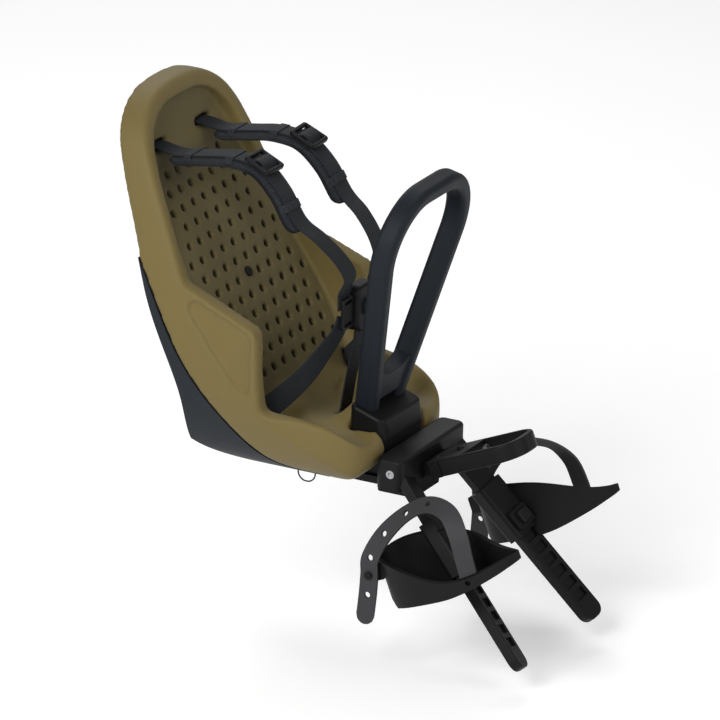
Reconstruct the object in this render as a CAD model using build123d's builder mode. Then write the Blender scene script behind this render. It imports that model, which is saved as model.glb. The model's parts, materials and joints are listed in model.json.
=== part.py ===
from build123d import *
from math import cos, radians, sin, tan
import os

# Child seat that clamps round a tube in front of it.
# Frame: origin on the clamp's axis, +X to the sitter's left, -Y forward, +Z up.
# Lengths in millimetres, angles in degrees. Side outlines are (Y, Z), front outlines (X, Z).

# Seat: rear face, rim face and base
seat_top = 361.0
seat_base = -13.0
rear_lean = 19.0
rear_foot = (301.0, 176.0)
rim_lean = 24.2
rim_foot = (257.0, 186.0)
shell_wall = 3.5
base_cut = 6.0
rear_panel = 4.0
rear_border = 14.0
parting_end = 204.0
lip_front = 57.0
wing_front = 162.0
wing_corner_radius = 22.0
panel_recess = 4.0

# Leg troughs
trough_radius = 37.0
trough_height = 66.0
trough_rear = (50.0, 165.0)
trough_front = (71.0, 50.0)

# Perforations and the push fastener of the pad
perforation_radius = 4.4
perforation_depth = 9.0
perforation_pitch = 22.0
perforation_row = 19.0
perforation_rows = 13
perforation_top = (312.4, 274.6)
back_lean = 30.3
plug_point = (247.0, 163.0)
plug_head_radius = 5.5
plug_head_height = 2.0
plug_stem_radius = 3.0
plug_stem_length = 12.0
plug_lift = 0.3
plug_clearance = 0.1

# Harness webbing
strap_width = 25.0
strap_thickness = 2.0
strap_clearance = 0.6
slot_room = 3.0
shoulder_slot_x = 47.0
shoulder_slot_z = 301.0
shoulder_pad_width = 40.0
shoulder_pad_thickness = 7.0
sleeve_gap = 0.8
soft_gap = 0.3
anchor_thickness = 3.0
anchor_height = 16.0
anchor_margin = 8.0
adjuster_width = 34.0
adjuster_length = 32.0
adjuster_thickness = 5.0
adjuster_bar = 4.0
slot_mouth = 6.0
hip_slot_depth = 20.0
crotch_slot_depth = 16.0

# Buckle
buckle_center = (114.0, 152.0)
buckle_width = 38.0
buckle_height = 50.0
buckle_depth = 15.0
buckle_corner = 10.0
button_radius = 9.0
button_travel = 3.0
button_gap = 0.3
button_proud = 3.5
tongue_reach = 22.0
tongue_height = 34.0
tongue_thickness = 3.0
tongue_insert = 8.0
tongue_slot = 4.0

# Front hood and grab handle
hood_width = 87.0
hood_rear = 103.0
hood_front = 59.0
hood_top = 60.0
hood_ridge = (62.0, 46.0)
hood_corner = 9.0
hood_round = 4.0
hood_gap = 0.3
handle_lean = 12.7
handle_foot = (88.5, 57.0)
handle_foot_x = 26.5
handle_length = 244.0
handle_half_width = 97.5
handle_corner = 57.0
handle_depth = 24.0
handle_thickness = 18.0
handle_seat_depth = 10.0

# Clamp bracket
tube_lean = 23.0
tube_radius = 14.3
shim_wall = 1.7
shim_slit = 2.0
bracket_bottom = -6.0
bracket_top = 12.0
bracket_half_width = 31.0
bracket_nose = 95.0
bracket_rail = 5.5
bracket_web = 27.0
clamp_gap = 1.0
tongue_half_width = 22.0
tongue_rear = 54.0
bracket_bolt_x = 21.0
bracket_bolt_radius = 2.5
bracket_bolt_length = 38.0
bracket_taper = 7.0
bracket_opening_corner = 14.0
bracket_round = 2.2
bolt_fit = 0.02
bracket_bolt_head_radius = 4.2
bracket_bolt_head = 5.0
mount_gap = 0.3

# Carrier under the seat
carrier_half_width = 48.0
carrier_rear = 168.0
carrier_thickness = 8.0
carrier_corner = 10.0
plate_lap = 12.0
beam_half_width = 72.0
beam_front = 25.0
beam_rear = lip_front - 1.5
beam_corner = 8.0
beam_round = 4.0
beam_top = 18.0
beam_bottom = -15.0
box_half_width = 30.0
box_bottom = -36.0
box_rear = 76.0
carrier_screw_x = 36.0
carrier_screw_y = (112.0, 156.0)
carrier_screw_radius = 2.5
carrier_screw_head_radius = 4.5
carrier_screw_head = 3.0
carrier_screw_length = 10.4
release_width = 26.0
release_height = 12.0
release_travel = 5.0
release_proud = 7.0
release_depth = 18.0
lock_radius = 6.0
lock_length = 14.0
lock_proud = 1.5
lock_y = 62.0
lock_fit = 0.05
keyhole = (1.6, 6.0, 5.0)

# Footrest bars
bar_top = (53.0, 34.0, -2.0)
bar_tip = (83.0, -126.0, -175.0)
bar_turn = 15.0
bar_width = 28.0
bar_thickness = 11.0
bar_tip_radius = 11.0
bar_round = 1.5
bar_root = 12.0
bar_gap = 0.3
rung_pitch = 16.0
rung_notch = 10.5
rung_count = 10
rung_width = 17.0
rung_depth = 3.0
rung_tip_margin = 30.0
bar_screw_radius = 2.5
bar_screw_head_radius = 4.5
bar_screw_head = 3.0
bar_screw_bite = 8.0

# Footrests
sole_pitch = 22.0
sole_point = (-40.0, -103.0)
cup_height = 75.0
heel_back = -50.0
toe_tip = 112.0
toe_rise = 27.0
foot_wall = 3.0
guide_wall = 3.6
guide_gap = 0.4
guide_start = 58.0
guide_end = 122.0
latch_width = 15.0
latch_length = 13.0
latch_travel = 3.0
latch_proud = 5.0
latch_round = 1.2
latch_place = 106.0
latch_rim = 4.5
foot_strap_width = 20.0
foot_strap_thickness = 3.0
strap_hole_radius = 3.2
peg_radius = 2.6
peg_head_radius = 4.2
stud_radius = 2.8
stud_fit = 0.05

# Pull loop
loop_wire = 1.6
loop_offset = 3.0
loop_drop = 20.0
loop_corner = 9.5

# Weight of the end tangents of every spline, so that none of them overshoots
even_ends = (1, 1)

os.makedirs("parts", exist_ok=True)


def finish(piece, name):
    """Label a finished piece and write it as its own file."""
    piece.part.label = name
    export_step(piece.part, f"parts/{name}.step")


def rear_y(z):
    """Rear face of the seat above its knee, at height z."""
    return rear_foot[0] + tan(radians(rear_lean)) * (z - rear_foot[1])


def rim_y(z):
    """Front face of the head rim at height z."""
    return rim_foot[0] + tan(radians(rim_lean)) * (z - rim_foot[1])


def lean(angle):
    """Unit direction in the side view, leaning back from upright by an angle."""
    return (sin(radians(angle)), cos(radians(angle)))


# How far construction solids run past the seat
reach = seat_top + 25.0
side_reach = 170.0
rear_reach = 420.0


def other_side(points):
    """Mirror image of the points of a +X half outline, in the order that carries it on."""
    return [(-x, v) for x, v in reversed(points)]


def front_half(inset):
    """Front outline of the seat's +X half, from the base to the top of the head."""
    return [
        (45, seat_base + inset - base_cut),
        (94 - inset, inset),
        (115 - inset, 30),
        (128 - inset, 65),
        (132 - inset, 113),
        (126 - inset, 176),
        (116 - inset, 238),
        (107 - inset, 290),
        (90 - inset, 331 - inset),
        (55, 354 - inset),
        (0, seat_top - inset),
    ]


def heel_points(inset):
    """Rear curve of the shell from below its knee down to the heel."""
    return [(273 - inset, 113), (255 - inset, 62), (255 - inset, 10 + inset)]


def under_points(inset):
    """Curve of the shell's underside from behind the base to the flat of the base."""
    return [(222, -6 + inset), (172, seat_base + inset)]


def seat_form(inset):
    """Outer form of the seat, with its rear, base and sides moved inwards by an inset."""
    with BuildPart() as form:
        with BuildSketch(Plane.XZ.offset(-rear_reach)):
            with BuildLine():
                half = front_half(inset)
                left = Spline(*half, tangents=((1, 0), (-1, 0)), tangent_scalars=even_ends)
                right = Spline(*other_side(half), tangents=((-1, 0), (1, 0)), tangent_scalars=even_ends)
                Line(right @ 1, left @ 0)
            make_face()
        extrude(amount=rear_reach)
        with BuildSketch(Plane.YZ.offset(-side_reach)):
            with BuildLine():
                knee = (rear_foot[0] - inset, rear_foot[1])
                top_rear = (rear_y(reach) - inset, reach)
                Line((rim_y(reach), reach), top_rear)
                Line(top_rear, knee)
                lower = Spline(
                    knee,
                    *heel_points(inset),
                    tangents=((-lean(rear_lean)[0], -lean(rear_lean)[1]), (0, -1)),
                    tangent_scalars=even_ends,
                )
                under = Spline(
                    lower @ 1,
                    *under_points(inset),
                    tangents=((-0.75, -0.66), (-1, 0)),
                    tangent_scalars=even_ends,
                )
                base = Line(under @ 1, (92, seat_base + inset))
                lip = Spline(
                    base @ 1,
                    (lip_front, 20),
                    (84, 47),
                    (112, 57),
                    (wing_front, 60),
                    tangents=((-1, 0), (1, 0)),
                    tangent_scalars=even_ends,
                )
                wing = FilletPolyline(
                    (wing_front, 60),
                    (wing_front + 4, 150),
                    rim_foot,
                    radius=wing_corner_radius,
                )
                Line(wing @ 1, (rim_y(reach), reach))
            make_face()
        extrude(amount=2 * side_reach, mode=Mode.INTERSECT)
        with BuildSketch(Plane.XY.offset(-reach)):
            with BuildLine():
                half = [
                    (side_reach - inset, 215),
                    (128 - inset, 160),
                    (113 - inset, 112),
                    (105 - inset, 86),
                    (93 - inset, 68),
                    (70 - inset, lip_front + 1),
                    (0, lip_front),
                ]
                left = Spline(*half, tangents=((-0.67, -0.74), (-1, 0)), tangent_scalars=even_ends)
                right = Spline(*other_side(half), tangents=((-1, 0), (-0.67, 0.74)), tangent_scalars=even_ends)
                Polyline(
                    right @ 1,
                    (-side_reach + inset, rear_reach),
                    (side_reach - inset, rear_reach),
                    left @ 0,
                )
            make_face()
        extrude(amount=2 * reach, mode=Mode.INTERSECT)
    return form


def behind_parting():
    """Region behind and below the line where the foam pad meets the shell."""
    with BuildPart() as region:
        with BuildSketch(Plane.YZ.offset(-side_reach)):
            with BuildLine():
                front = hood_rear + rear_panel
                ledge = seat_base + rear_panel
                meet = (rear_y(parting_end), parting_end)
                Polyline((front, -60), (front, ledge), (132, ledge))
                Spline(
                    (132, ledge),
                    (158, -3),
                    (201, 37),
                    (252, 102),
                    meet,
                    tangents=((1, 0), lean(rear_lean + 12)),
                    tangent_scalars=even_ends,
                )
                Polyline(meet, (rear_reach, parting_end), (rear_reach, -60), (front, -60))
            make_face()
        extrude(amount=2 * side_reach)
    return region


def rear_sheet():
    """Region of the shell's thin panel that is let into the back of the pad."""
    with BuildPart() as sheet:
        with BuildSketch(Plane.XZ.offset(-rear_reach)):
            with BuildLine():
                half = front_half(rear_border)
                left = Spline(*half, tangents=((1, 0), (-1, 0)), tangent_scalars=even_ends)
                right = Spline(*other_side(half), tangents=((-1, 0), (1, 0)), tangent_scalars=even_ends)
                Line(right @ 1, left @ 0)
            make_face()
        extrude(amount=rear_reach)
        with BuildSketch(Plane.YZ.offset(-side_reach)):
            with BuildLine():
                foot = (rear_y(rear_foot[1]) - rear_panel, rear_foot[1])
                top = (rear_y(reach) - rear_panel, reach)
                Polyline(foot, top, (rear_reach, reach), (rear_reach, rear_foot[1]), foot)
            make_face()
        extrude(amount=2 * side_reach, mode=Mode.INTERSECT)
    return sheet


def cavity_form():
    """Space inside the bucket, in front of the back and above the pan."""
    with BuildPart() as space:
        with BuildSketch(Plane.XZ.offset(-rear_reach)):
            with BuildLine():
                half = [
                    (60, 25),
                    (92, 40),
                    (107, 66),
                    (112, 96),
                    (112, 130),
                    (108, 168),
                    (101, 222),
                    (94, 262),
                    (85, 298),
                    (68, 325),
                    (39, 340),
                    (0, 343),
                ]
                left = Spline(*half, tangents=((1, 0.15), (-1, 0)), tangent_scalars=even_ends)
                right = Spline(*other_side(half), tangents=((-1, 0), (1, -0.15)), tangent_scalars=even_ends)
                Line(right @ 1, left @ 0)
            make_face()
        extrude(amount=rear_reach)
        with BuildSketch(Plane.YZ.offset(-side_reach)):
            with BuildLine():
                back = Spline(
                    (344, reach),
                    (338, 346),
                    (327, 300),
                    (289, 234),
                    plug_point,
                    (206, 96),
                    (178, 53),
                    (152, 34),
                    (132, 33),
                    (112, 50),
                    (99, 70),
                    tangents=((-0.1, -1), (-0.4, 0.9)),
                    tangent_scalars=even_ends,
                )
                Polyline(back @ 1, (99, 120), (40, 160), (40, reach), back @ 0)
            make_face()
        extrude(amount=2 * side_reach, mode=Mode.INTERSECT)
    return space


# Harness routes: points of the left side, each with the direction across the webbing
across_body = (1, 0, 0)
flat_on_tongue = buckle_center[0] + (tongue_thickness + strap_thickness) / 2 + soft_gap
shoulder_route = [
    (shoulder_slot_x, rear_y(shoulder_slot_z) - 0.6, shoulder_slot_z),
    (shoulder_slot_x, 326, shoulder_slot_z),
    (shoulder_slot_x, 302, 298),
    (shoulder_slot_x, 270, 303),
    (47.5, 240, 307),
    (48, 206, 302),
    (49.5, 180, 280),
    (50, 160, 250),
    (46, 139, 234),
    (39, 119, 213),
    (33, 110, 193),
    (32.5, flat_on_tongue - 0.5, 177),
    (32.5, flat_on_tongue, 169),
    (32.5, flat_on_tongue, 163.5),
]
shoulder_across = [across_body] * len(shoulder_route)
shoulder_pad_span = (2, 8)
adjuster_station = 5
hip_route = [
    (98, 181, 46),
    (89, 171, 56),
    (76, 156, 72),
    (63, 142, 90),
    (50, 129, 113),
    (39, flat_on_tongue + 2, 134),
    (33, flat_on_tongue + sleeve_gap, 148),
]
hip_across = [
    (0.2, 0.3, 0.93),
    (0.2, 0.3, 0.93),
    (0.35, 0.3, 0.88),
    (0.55, 0.25, 0.8),
    (0.75, 0.15, 0.64),
    (0.88, 0.05, 0.45),
    (0.92, 0, 0.39),
]
crotch_route = [(0, 131, 22), (0, 129, 36), (0, 123, 74), (0, 116, 108), (0, 114, 126.7)]
crotch_across = [across_body] * len(crotch_route)


def strap_planes(route, across, sign=1, shift=0.0):
    """Section planes along a strap's route; shift moves the strap along its face normal."""
    points = [Vector(sign * x, y, z) for x, y, z in route]
    planes = []
    for index, point in enumerate(points):
        before = points[max(index - 1, 0)]
        after = points[min(index + 1, len(points) - 1)]
        wide = Vector(sign * across[index][0], across[index][1], across[index][2])
        plane = Plane(origin=point, x_dir=wide, z_dir=after - before)
        planes.append(Plane(origin=point + plane.y_dir * shift, x_dir=wide, z_dir=after - before))
    return planes


# Seat pad: foam body with rim, bucket, wings, troughs and perforations
outer = seat_form(0.0)
wing_floor = seat_form(panel_recess)
parting = behind_parting()
panel = rear_sheet()
cavity = cavity_form()

back_plane = Plane(
    origin=(0, *perforation_top),
    x_dir=(1, 0, 0),
    z_dir=(0, -cos(radians(back_lean)), sin(radians(back_lean))),
)
plug_plane = Plane(origin=(0, *plug_point), x_dir=back_plane.x_dir, z_dir=back_plane.z_dir)


def perforations():
    """Staggered hole centres on the back plane, inside the bucket's outline."""
    centres = []
    for row in range(perforation_rows):
        height = -row * perforation_row
        level = perforation_top[1] + height * cos(radians(back_lean))
        half_width = min(76 + (298 - level) * 0.2, 104) - perforation_radius
        shift = 0.0 if row % 2 else perforation_pitch / 2
        count = int((half_width - shift) // perforation_pitch)
        for column in range(-count - (1 if shift else 0), count + 1):
            centre = (column * perforation_pitch + shift, height)
            centres.append(centre)
    plug_drop = (perforation_top[1] - plug_point[1]) / cos(radians(back_lean))
    return [(x, y) for x, y in centres if abs(x) > 9 or abs(y + plug_drop) > 9]


with BuildPart() as wing_panels:
    with BuildSketch(Plane.YZ.offset(-side_reach)):
        with BuildLine():
            FilletPolyline(
                (wing_front + 9, 64),
                (wing_front + 11, 146),
                (268, 183),
                (wing_front + 9, 64),
                radius=9,
                close=True,
            )
        make_face()
    extrude(amount=2 * side_reach)
    add(wing_floor.part, mode=Mode.SUBTRACT)

slot_width = strap_width + 2 * strap_clearance
slot_height = strap_thickness + 2 * slot_room

with BuildPart() as shoulder_slots:
    with BuildSketch(Plane.XZ.offset(-rear_reach)):
        with Locations((shoulder_slot_x, shoulder_slot_z), (-shoulder_slot_x, shoulder_slot_z)):
            SlotOverall(slot_width + slot_height, slot_height)
    extrude(amount=rear_reach - rear_y(shoulder_slot_z) + 45)

with BuildPart() as seat_pad:
    add(outer.part)
    add(parting.part, mode=Mode.SUBTRACT)
    add(panel.part, mode=Mode.SUBTRACT)
    add(cavity.part, mode=Mode.SUBTRACT)
    for sign in (1, -1):
        start = Vector(sign * trough_rear[0], trough_rear[1], trough_height)
        end = Vector(sign * trough_front[0], trough_front[1], trough_height)
        with BuildSketch(Plane(origin=start, x_dir=(0, 0, 1), z_dir=end - start)):
            Circle(trough_radius)
        extrude(amount=(end - start).length, mode=Mode.SUBTRACT)
    with BuildSketch(Plane.XY.offset(seat_base - 10)):
        with Locations((0, hood_rear + hood_gap)):
            Rectangle(hood_width + 2 * hood_gap, 200, align=(Align.CENTER, Align.MAX))
    extrude(amount=120, mode=Mode.SUBTRACT)
    add(wing_panels.part, mode=Mode.SUBTRACT)
    add(shoulder_slots.part, mode=Mode.SUBTRACT)
    with BuildSketch(back_plane.offset(-perforation_depth)):
        with Locations(*perforations()):
            Circle(perforation_radius)
    extrude(amount=perforation_depth + 12, mode=Mode.SUBTRACT)
    with BuildSketch(plug_plane.offset(-plug_stem_length)):
        Circle(plug_stem_radius + plug_clearance)
    extrude(amount=2 * plug_stem_length, mode=Mode.SUBTRACT)
    for sign in (1, -1):
        mouth = strap_planes(hip_route, hip_across, sign)[1]
        inwards = Plane(origin=mouth.origin, x_dir=mouth.x_dir, z_dir=-mouth.z_dir)
        with BuildSketch(inwards.offset(-slot_mouth)):
            Rectangle(slot_width, slot_height)
        extrude(amount=slot_mouth + hip_slot_depth, mode=Mode.SUBTRACT)
    mouth = strap_planes(crotch_route, crotch_across)[1]
    inwards = Plane(origin=mouth.origin, x_dir=mouth.x_dir, z_dir=-mouth.z_dir)
    with BuildSketch(inwards.offset(-slot_mouth)):
        Rectangle(slot_width, slot_height)
    extrude(amount=slot_mouth + crotch_slot_depth, mode=Mode.SUBTRACT)

finish(seat_pad, "seat_pad")

# Seat shell: hollow tub under the pad and a thin panel behind it
hollow_front = 140.0
hollow_top = 165.0

with BuildPart() as shell_hollow:
    with BuildSketch(Plane.XZ.offset(-rear_reach)):
        with BuildLine():
            half = front_half(shell_wall)
            left = Spline(*half, tangents=((1, 0), (-1, 0)), tangent_scalars=even_ends)
            right = Spline(*other_side(half), tangents=((-1, 0), (1, 0)), tangent_scalars=even_ends)
            Line(right @ 1, left @ 0)
        make_face()
    extrude(amount=rear_reach)
    with BuildSketch(Plane.YZ.offset(-side_reach)):
        with BuildLine():
            top = Line((hollow_front, hollow_top), (rear_y(hollow_top) - shell_wall, hollow_top))
            lower = Spline(top @ 1, *heel_points(shell_wall))
            under = Spline(
                lower @ 1,
                *under_points(shell_wall),
                tangents=((-0.75, -0.66), (-1, 0)),
                tangent_scalars=even_ends,
            )
            Polyline(under @ 1, (hollow_front, seat_base + shell_wall), top @ 0)
        make_face()
    extrude(amount=2 * side_reach, mode=Mode.INTERSECT)

carrier_screw_spots = [(s * carrier_screw_x, y) for s in (1, -1) for y in carrier_screw_y]

with BuildPart() as seat_shell:
    add(parting.part)
    add(panel.part)
    add(outer.part, mode=Mode.INTERSECT)
    add(shell_hollow.part, mode=Mode.SUBTRACT)
    add(shoulder_slots.part, mode=Mode.SUBTRACT)
    with BuildSketch(Plane.XY.offset(seat_base)):
        with Locations(*carrier_screw_spots):
            Circle(carrier_screw_radius)
    extrude(amount=rear_panel, mode=Mode.SUBTRACT)

finish(seat_shell, "seat_shell")

with BuildPart() as pad_plug:
    plug_seat = plug_plane.offset(plug_lift)
    with BuildSketch(plug_seat):
        Circle(plug_head_radius)
    extrude(amount=plug_head_height)
    plug_top = pad_plug.faces().sort_by(Axis(plug_seat.origin, plug_seat.z_dir))[-1]
    fillet(plug_top.edges(), plug_head_height / 2)
    with BuildSketch(plug_seat):
        Circle(plug_stem_radius)
    extrude(amount=-plug_stem_length)

finish(pad_plug, "pad_plug")

# Harness: straps, sleeves, adjusters and the bar that anchors the shoulder straps
rear_plane = Plane(
    origin=(0, rear_y(shoulder_slot_z), shoulder_slot_z),
    x_dir=(1, 0, 0),
    z_dir=(0, cos(radians(rear_lean)), -sin(radians(rear_lean))),
)

with BuildPart() as shoulder_anchor:
    with BuildSketch(rear_plane):
        SlotOverall(2 * shoulder_slot_x + strap_width + 2 * anchor_margin, anchor_height)
    extrude(amount=anchor_thickness)

finish(shoulder_anchor, "shoulder_anchor")

sleeve_shift = -(shoulder_pad_thickness / 2 + strap_thickness / 2 + sleeve_gap)
adjuster_shift = adjuster_thickness / 2 + strap_thickness / 2 + soft_gap

for side, sign in (("left", 1), ("right", -1)):
    with BuildPart() as shoulder_strap:
        for plane in strap_planes(shoulder_route, shoulder_across, sign):
            with BuildSketch(plane):
                Rectangle(strap_width, strap_thickness)
        loft()
    finish(shoulder_strap, f"shoulder_strap_{side}")

    with BuildPart() as shoulder_pad:
        sleeve = strap_planes(shoulder_route, shoulder_across, sign, sign * sleeve_shift)
        for plane in sleeve[slice(*shoulder_pad_span)]:
            with BuildSketch(plane):
                RectangleRounded(shoulder_pad_width, shoulder_pad_thickness, shoulder_pad_thickness * 0.4)
        loft()
    finish(shoulder_pad, f"shoulder_pad_{side}")

    with BuildPart() as hip_strap:
        for plane in strap_planes(hip_route, hip_across, sign):
            with BuildSketch(plane):
                Rectangle(strap_width, strap_thickness)
        loft()
    finish(hip_strap, f"hip_strap_{side}")

with BuildPart() as crotch_strap:
    for plane in strap_planes(crotch_route, crotch_across):
        with BuildSketch(plane):
            Rectangle(strap_width, strap_thickness)
    loft()

finish(crotch_strap, "crotch_strap")

# Adjusters: ladder-lock slides that sit on the shoulder straps above the sleeves
for side, sign in (("left", 1), ("right", -1)):
    seat_plane = strap_planes(shoulder_route, shoulder_across, sign, sign * adjuster_shift)[adjuster_station]
    slot_length = adjuster_width - 2 * adjuster_bar
    window = (adjuster_length - 3 * adjuster_bar) / 2
    frame_plane = Plane(origin=seat_plane.origin, x_dir=seat_plane.x_dir, z_dir=seat_plane.y_dir)
    with BuildPart() as strap_adjuster:
        with BuildSketch(frame_plane.offset(-adjuster_thickness / 2)):
            RectangleRounded(adjuster_width, adjuster_length, adjuster_bar)
            with GridLocations(0, window + adjuster_bar, 1, 2):
                Rectangle(slot_length, window, mode=Mode.SUBTRACT)
        extrude(amount=adjuster_thickness)
    finish(strap_adjuster, f"strap_adjuster_{side}")

# Buckle: body, press button and the two tongues that the straps end in
buckle_y, buckle_z = buckle_center
buckle_front = buckle_y - buckle_depth / 2
buckle_rear = buckle_y + buckle_depth / 2
button_well = 2 * button_travel + button_proud

with BuildPart() as buckle_body:
    with BuildSketch(Plane.XZ.offset(-buckle_rear)):
        with Locations((0, buckle_z)):
            RectangleRounded(buckle_width, buckle_height, buckle_corner)
    extrude(amount=buckle_depth)
    fillet(buckle_body.faces().sort_by(Axis.Y)[0].edges(), 3)
    fillet(buckle_body.faces().sort_by(Axis.Y)[-1].edges(), 2)
    with BuildSketch(Plane.XZ.offset(-(buckle_front + button_well))):
        with Locations((0, buckle_z)):
            Circle(button_radius + button_gap)
    extrude(amount=button_well, mode=Mode.SUBTRACT)
    with BuildSketch(Plane.XZ.offset(-(buckle_y + tongue_thickness / 2 + button_gap))):
        with Locations(*[(s * buckle_width / 2, buckle_z) for s in (1, -1)]):
            Rectangle(2 * (tongue_insert + button_gap), tongue_height / 2 + 2 * button_gap)
    extrude(amount=tongue_thickness + 2 * button_gap, mode=Mode.SUBTRACT)

finish(buckle_body, "buckle_body")

with BuildPart() as buckle_button:
    with BuildSketch(Plane.XZ.offset(-(buckle_front + button_well - button_travel - button_gap))):
        with Locations((0, buckle_z)):
            Circle(button_radius)
    extrude(amount=button_well - button_travel - button_gap + button_proud)
    fillet(buckle_button.faces().sort_by(Axis.Y)[0].edges(), 1.5)

finish(buckle_button, "buckle_button")

for side, sign in (("left", 1), ("right", -1)):
    with BuildPart() as buckle_tongue:
        root = buckle_width / 2 + button_gap
        with BuildSketch(Plane.XZ.offset(-(buckle_y + tongue_thickness / 2))):
            with Locations((sign * (root + tongue_reach / 2), buckle_z)):
                RectangleRounded(tongue_reach, tongue_height, 4)
            with Locations((sign * (buckle_width / 2), buckle_z)):
                Rectangle(2 * tongue_insert, tongue_height / 2)
            with Locations((sign * (root + tongue_reach / 2), buckle_z + tongue_height / 2 - 5)):
                SlotOverall(tongue_reach - 7, tongue_slot, mode=Mode.SUBTRACT)
            with Locations((sign * (root + tongue_reach / 2), buckle_z - tongue_height / 2 + 5)):
                SlotOverall(tongue_reach - 7, tongue_slot, mode=Mode.SUBTRACT)
        extrude(amount=tongue_thickness)
    finish(buckle_tongue, f"buckle_tongue_{side}")

# Front hood in the notch of the pad, with sockets for the grab handle
handle_plane = Plane(
    origin=(0, *handle_foot),
    x_dir=(1, 0, 0),
    z_dir=(0, -cos(radians(handle_lean)), -sin(radians(handle_lean))),
)

with BuildPart() as grab_handle:
    with BuildLine(handle_plane) as loop:
        FilletPolyline(
            (handle_foot_x, -handle_seat_depth),
            (handle_half_width, handle_length),
            (-handle_half_width, handle_length),
            (-handle_foot_x, -handle_seat_depth),
            radius=handle_corner,
        )
    start = Plane(origin=loop.line @ 0, x_dir=handle_plane.z_dir, z_dir=loop.line % 0)
    with BuildSketch(start):
        RectangleRounded(handle_depth, handle_thickness, handle_thickness * 0.36)
    sweep(path=loop.line)
    with BuildSketch(handle_plane.offset(-handle_depth * 0.36)):
        with BuildLine():
            foot = handle_foot_x
            web = Polyline((foot + 11, 46), (foot, 6), (-foot, 6), (-foot - 11, 46))
            ThreePointArc(web @ 1, (0, 32), web @ 0)
        make_face()
    extrude(amount=handle_depth * 0.72)

finish(grab_handle, "grab_handle")

with BuildPart() as front_hood:
    with BuildSketch(Plane.YZ.offset(-hood_width / 2)):
        with BuildLine():
            Polyline(
                (hood_front, seat_base),
                (hood_front, hood_ridge[1] - 20),
                hood_ridge,
                (hood_rear, hood_top),
                (hood_rear, seat_base),
                (hood_front, seat_base),
            )
        make_face()
    extrude(amount=hood_width)
    fillet(front_hood.edges().filter_by(Axis.Z, tolerance=20), hood_corner)
    fillet(front_hood.faces().sort_by(Axis.Z)[-1].edges(), hood_round)
    for sign in (1, -1):
        spot = Vector(*handle_plane.from_local_coords((sign * handle_foot_x, -handle_seat_depth, 0)))
        up = Vector(*handle_plane.from_local_coords((sign * handle_half_width, handle_length, 0))) - spot
        with BuildSketch(Plane(origin=spot, x_dir=handle_plane.z_dir, z_dir=up)):
            size = 2 * hood_gap
            RectangleRounded(handle_depth + size, handle_thickness + size, handle_thickness * 0.36)
        extrude(amount=4 * handle_seat_depth, mode=Mode.SUBTRACT)

finish(front_hood, "front_hood")

# Clamp bracket: rear half, front half with its loop, lining and bolts
clamp_axis = (0, sin(radians(tube_lean)), cos(radians(tube_lean)))
clamp_plane = Plane(origin=(0, 0, 0), x_dir=(1, 0, 0), z_dir=clamp_axis)
clamp_bore = tube_radius + shim_wall
clamp_thickness = bracket_top - bracket_bottom
clamp_middle = (bracket_top + bracket_bottom) / 2
clamp_back = Vector(*clamp_plane.y_dir)


def bolt_plane(along):
    """Plane across the clamp bolts, a distance along them behind the clamp's axis."""
    origin = clamp_plane.from_local_coords((0, along, clamp_middle))
    return Plane(origin=origin, x_dir=(1, 0, 0), z_dir=clamp_back)


bolt_spots = [(bracket_bolt_x, 0), (-bracket_bolt_x, 0)]

with BuildPart() as clamp_cap:
    with BuildSketch(clamp_plane.offset(bracket_bottom)):
        RectangleRounded(2 * bracket_half_width, 2 * bracket_nose, bracket_half_width * 0.85)
        with Locations((0, -clamp_gap / 2)):
            Rectangle(200, 200, align=(Align.CENTER, Align.MIN), mode=Mode.SUBTRACT)
        opening = bracket_nose - bracket_web - 1.5 * bracket_rail
        opening_width = 2 * (bracket_half_width - bracket_rail)
        with Locations((0, -bracket_web - opening / 2)):
            RectangleRounded(opening_width, opening, bracket_opening_corner, mode=Mode.SUBTRACT)
        with Locations((0, -bracket_web)):
            Rectangle(
                opening_width,
                bracket_opening_corner,
                align=(Align.CENTER, Align.MAX),
                mode=Mode.SUBTRACT,
            )
        Circle(clamp_bore, mode=Mode.SUBTRACT)
    extrude(amount=clamp_thickness)
    rail_edges = [
        edge
        for plane_face in clamp_cap.faces().filter_by(clamp_plane)
        for edge in plane_face.outer_wire().edges()
        if clamp_plane.to_local_coords(edge.center()).Y < -bracket_web - 1
    ]
    fillet(rail_edges, bracket_round)
    with BuildSketch(bolt_plane(-bracket_web)):
        with Locations(*bolt_spots):
            Circle(bracket_bolt_radius + mount_gap)
    extrude(amount=bracket_web, mode=Mode.SUBTRACT)

finish(clamp_cap, "clamp_cap")

with BuildPart() as clamp_bracket:
    with BuildSketch(clamp_plane.offset(bracket_bottom)):
        with BuildLine():
            shoulder = bracket_web - bracket_taper
            Polyline(
                (bracket_half_width, clamp_gap / 2),
                (bracket_half_width, shoulder - bracket_taper),
                (tongue_half_width, shoulder),
                (tongue_half_width, tongue_rear),
                (-tongue_half_width, tongue_rear),
                (-tongue_half_width, shoulder),
                (-bracket_half_width, shoulder - bracket_taper),
                (-bracket_half_width, clamp_gap / 2),
                (bracket_half_width, clamp_gap / 2),
            )
        make_face()
        Circle(clamp_bore, mode=Mode.SUBTRACT)
    extrude(amount=clamp_thickness)
    with BuildSketch(bolt_plane(0)):
        with Locations(*bolt_spots):
            Circle(bracket_bolt_radius)
    extrude(amount=bracket_bolt_length - bracket_web + bracket_bolt_radius, mode=Mode.SUBTRACT)

finish(clamp_bracket, "clamp_bracket")

with BuildPart() as clamp_shim:
    with BuildSketch(clamp_plane.offset(bracket_bottom)):
        Circle(clamp_bore)
        Circle(tube_radius, mode=Mode.SUBTRACT)
        with Locations((clamp_bore, 0)):
            Rectangle(4 * shim_wall, shim_slit, mode=Mode.SUBTRACT)
    extrude(amount=clamp_thickness)

finish(clamp_shim, "clamp_shim")

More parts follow.
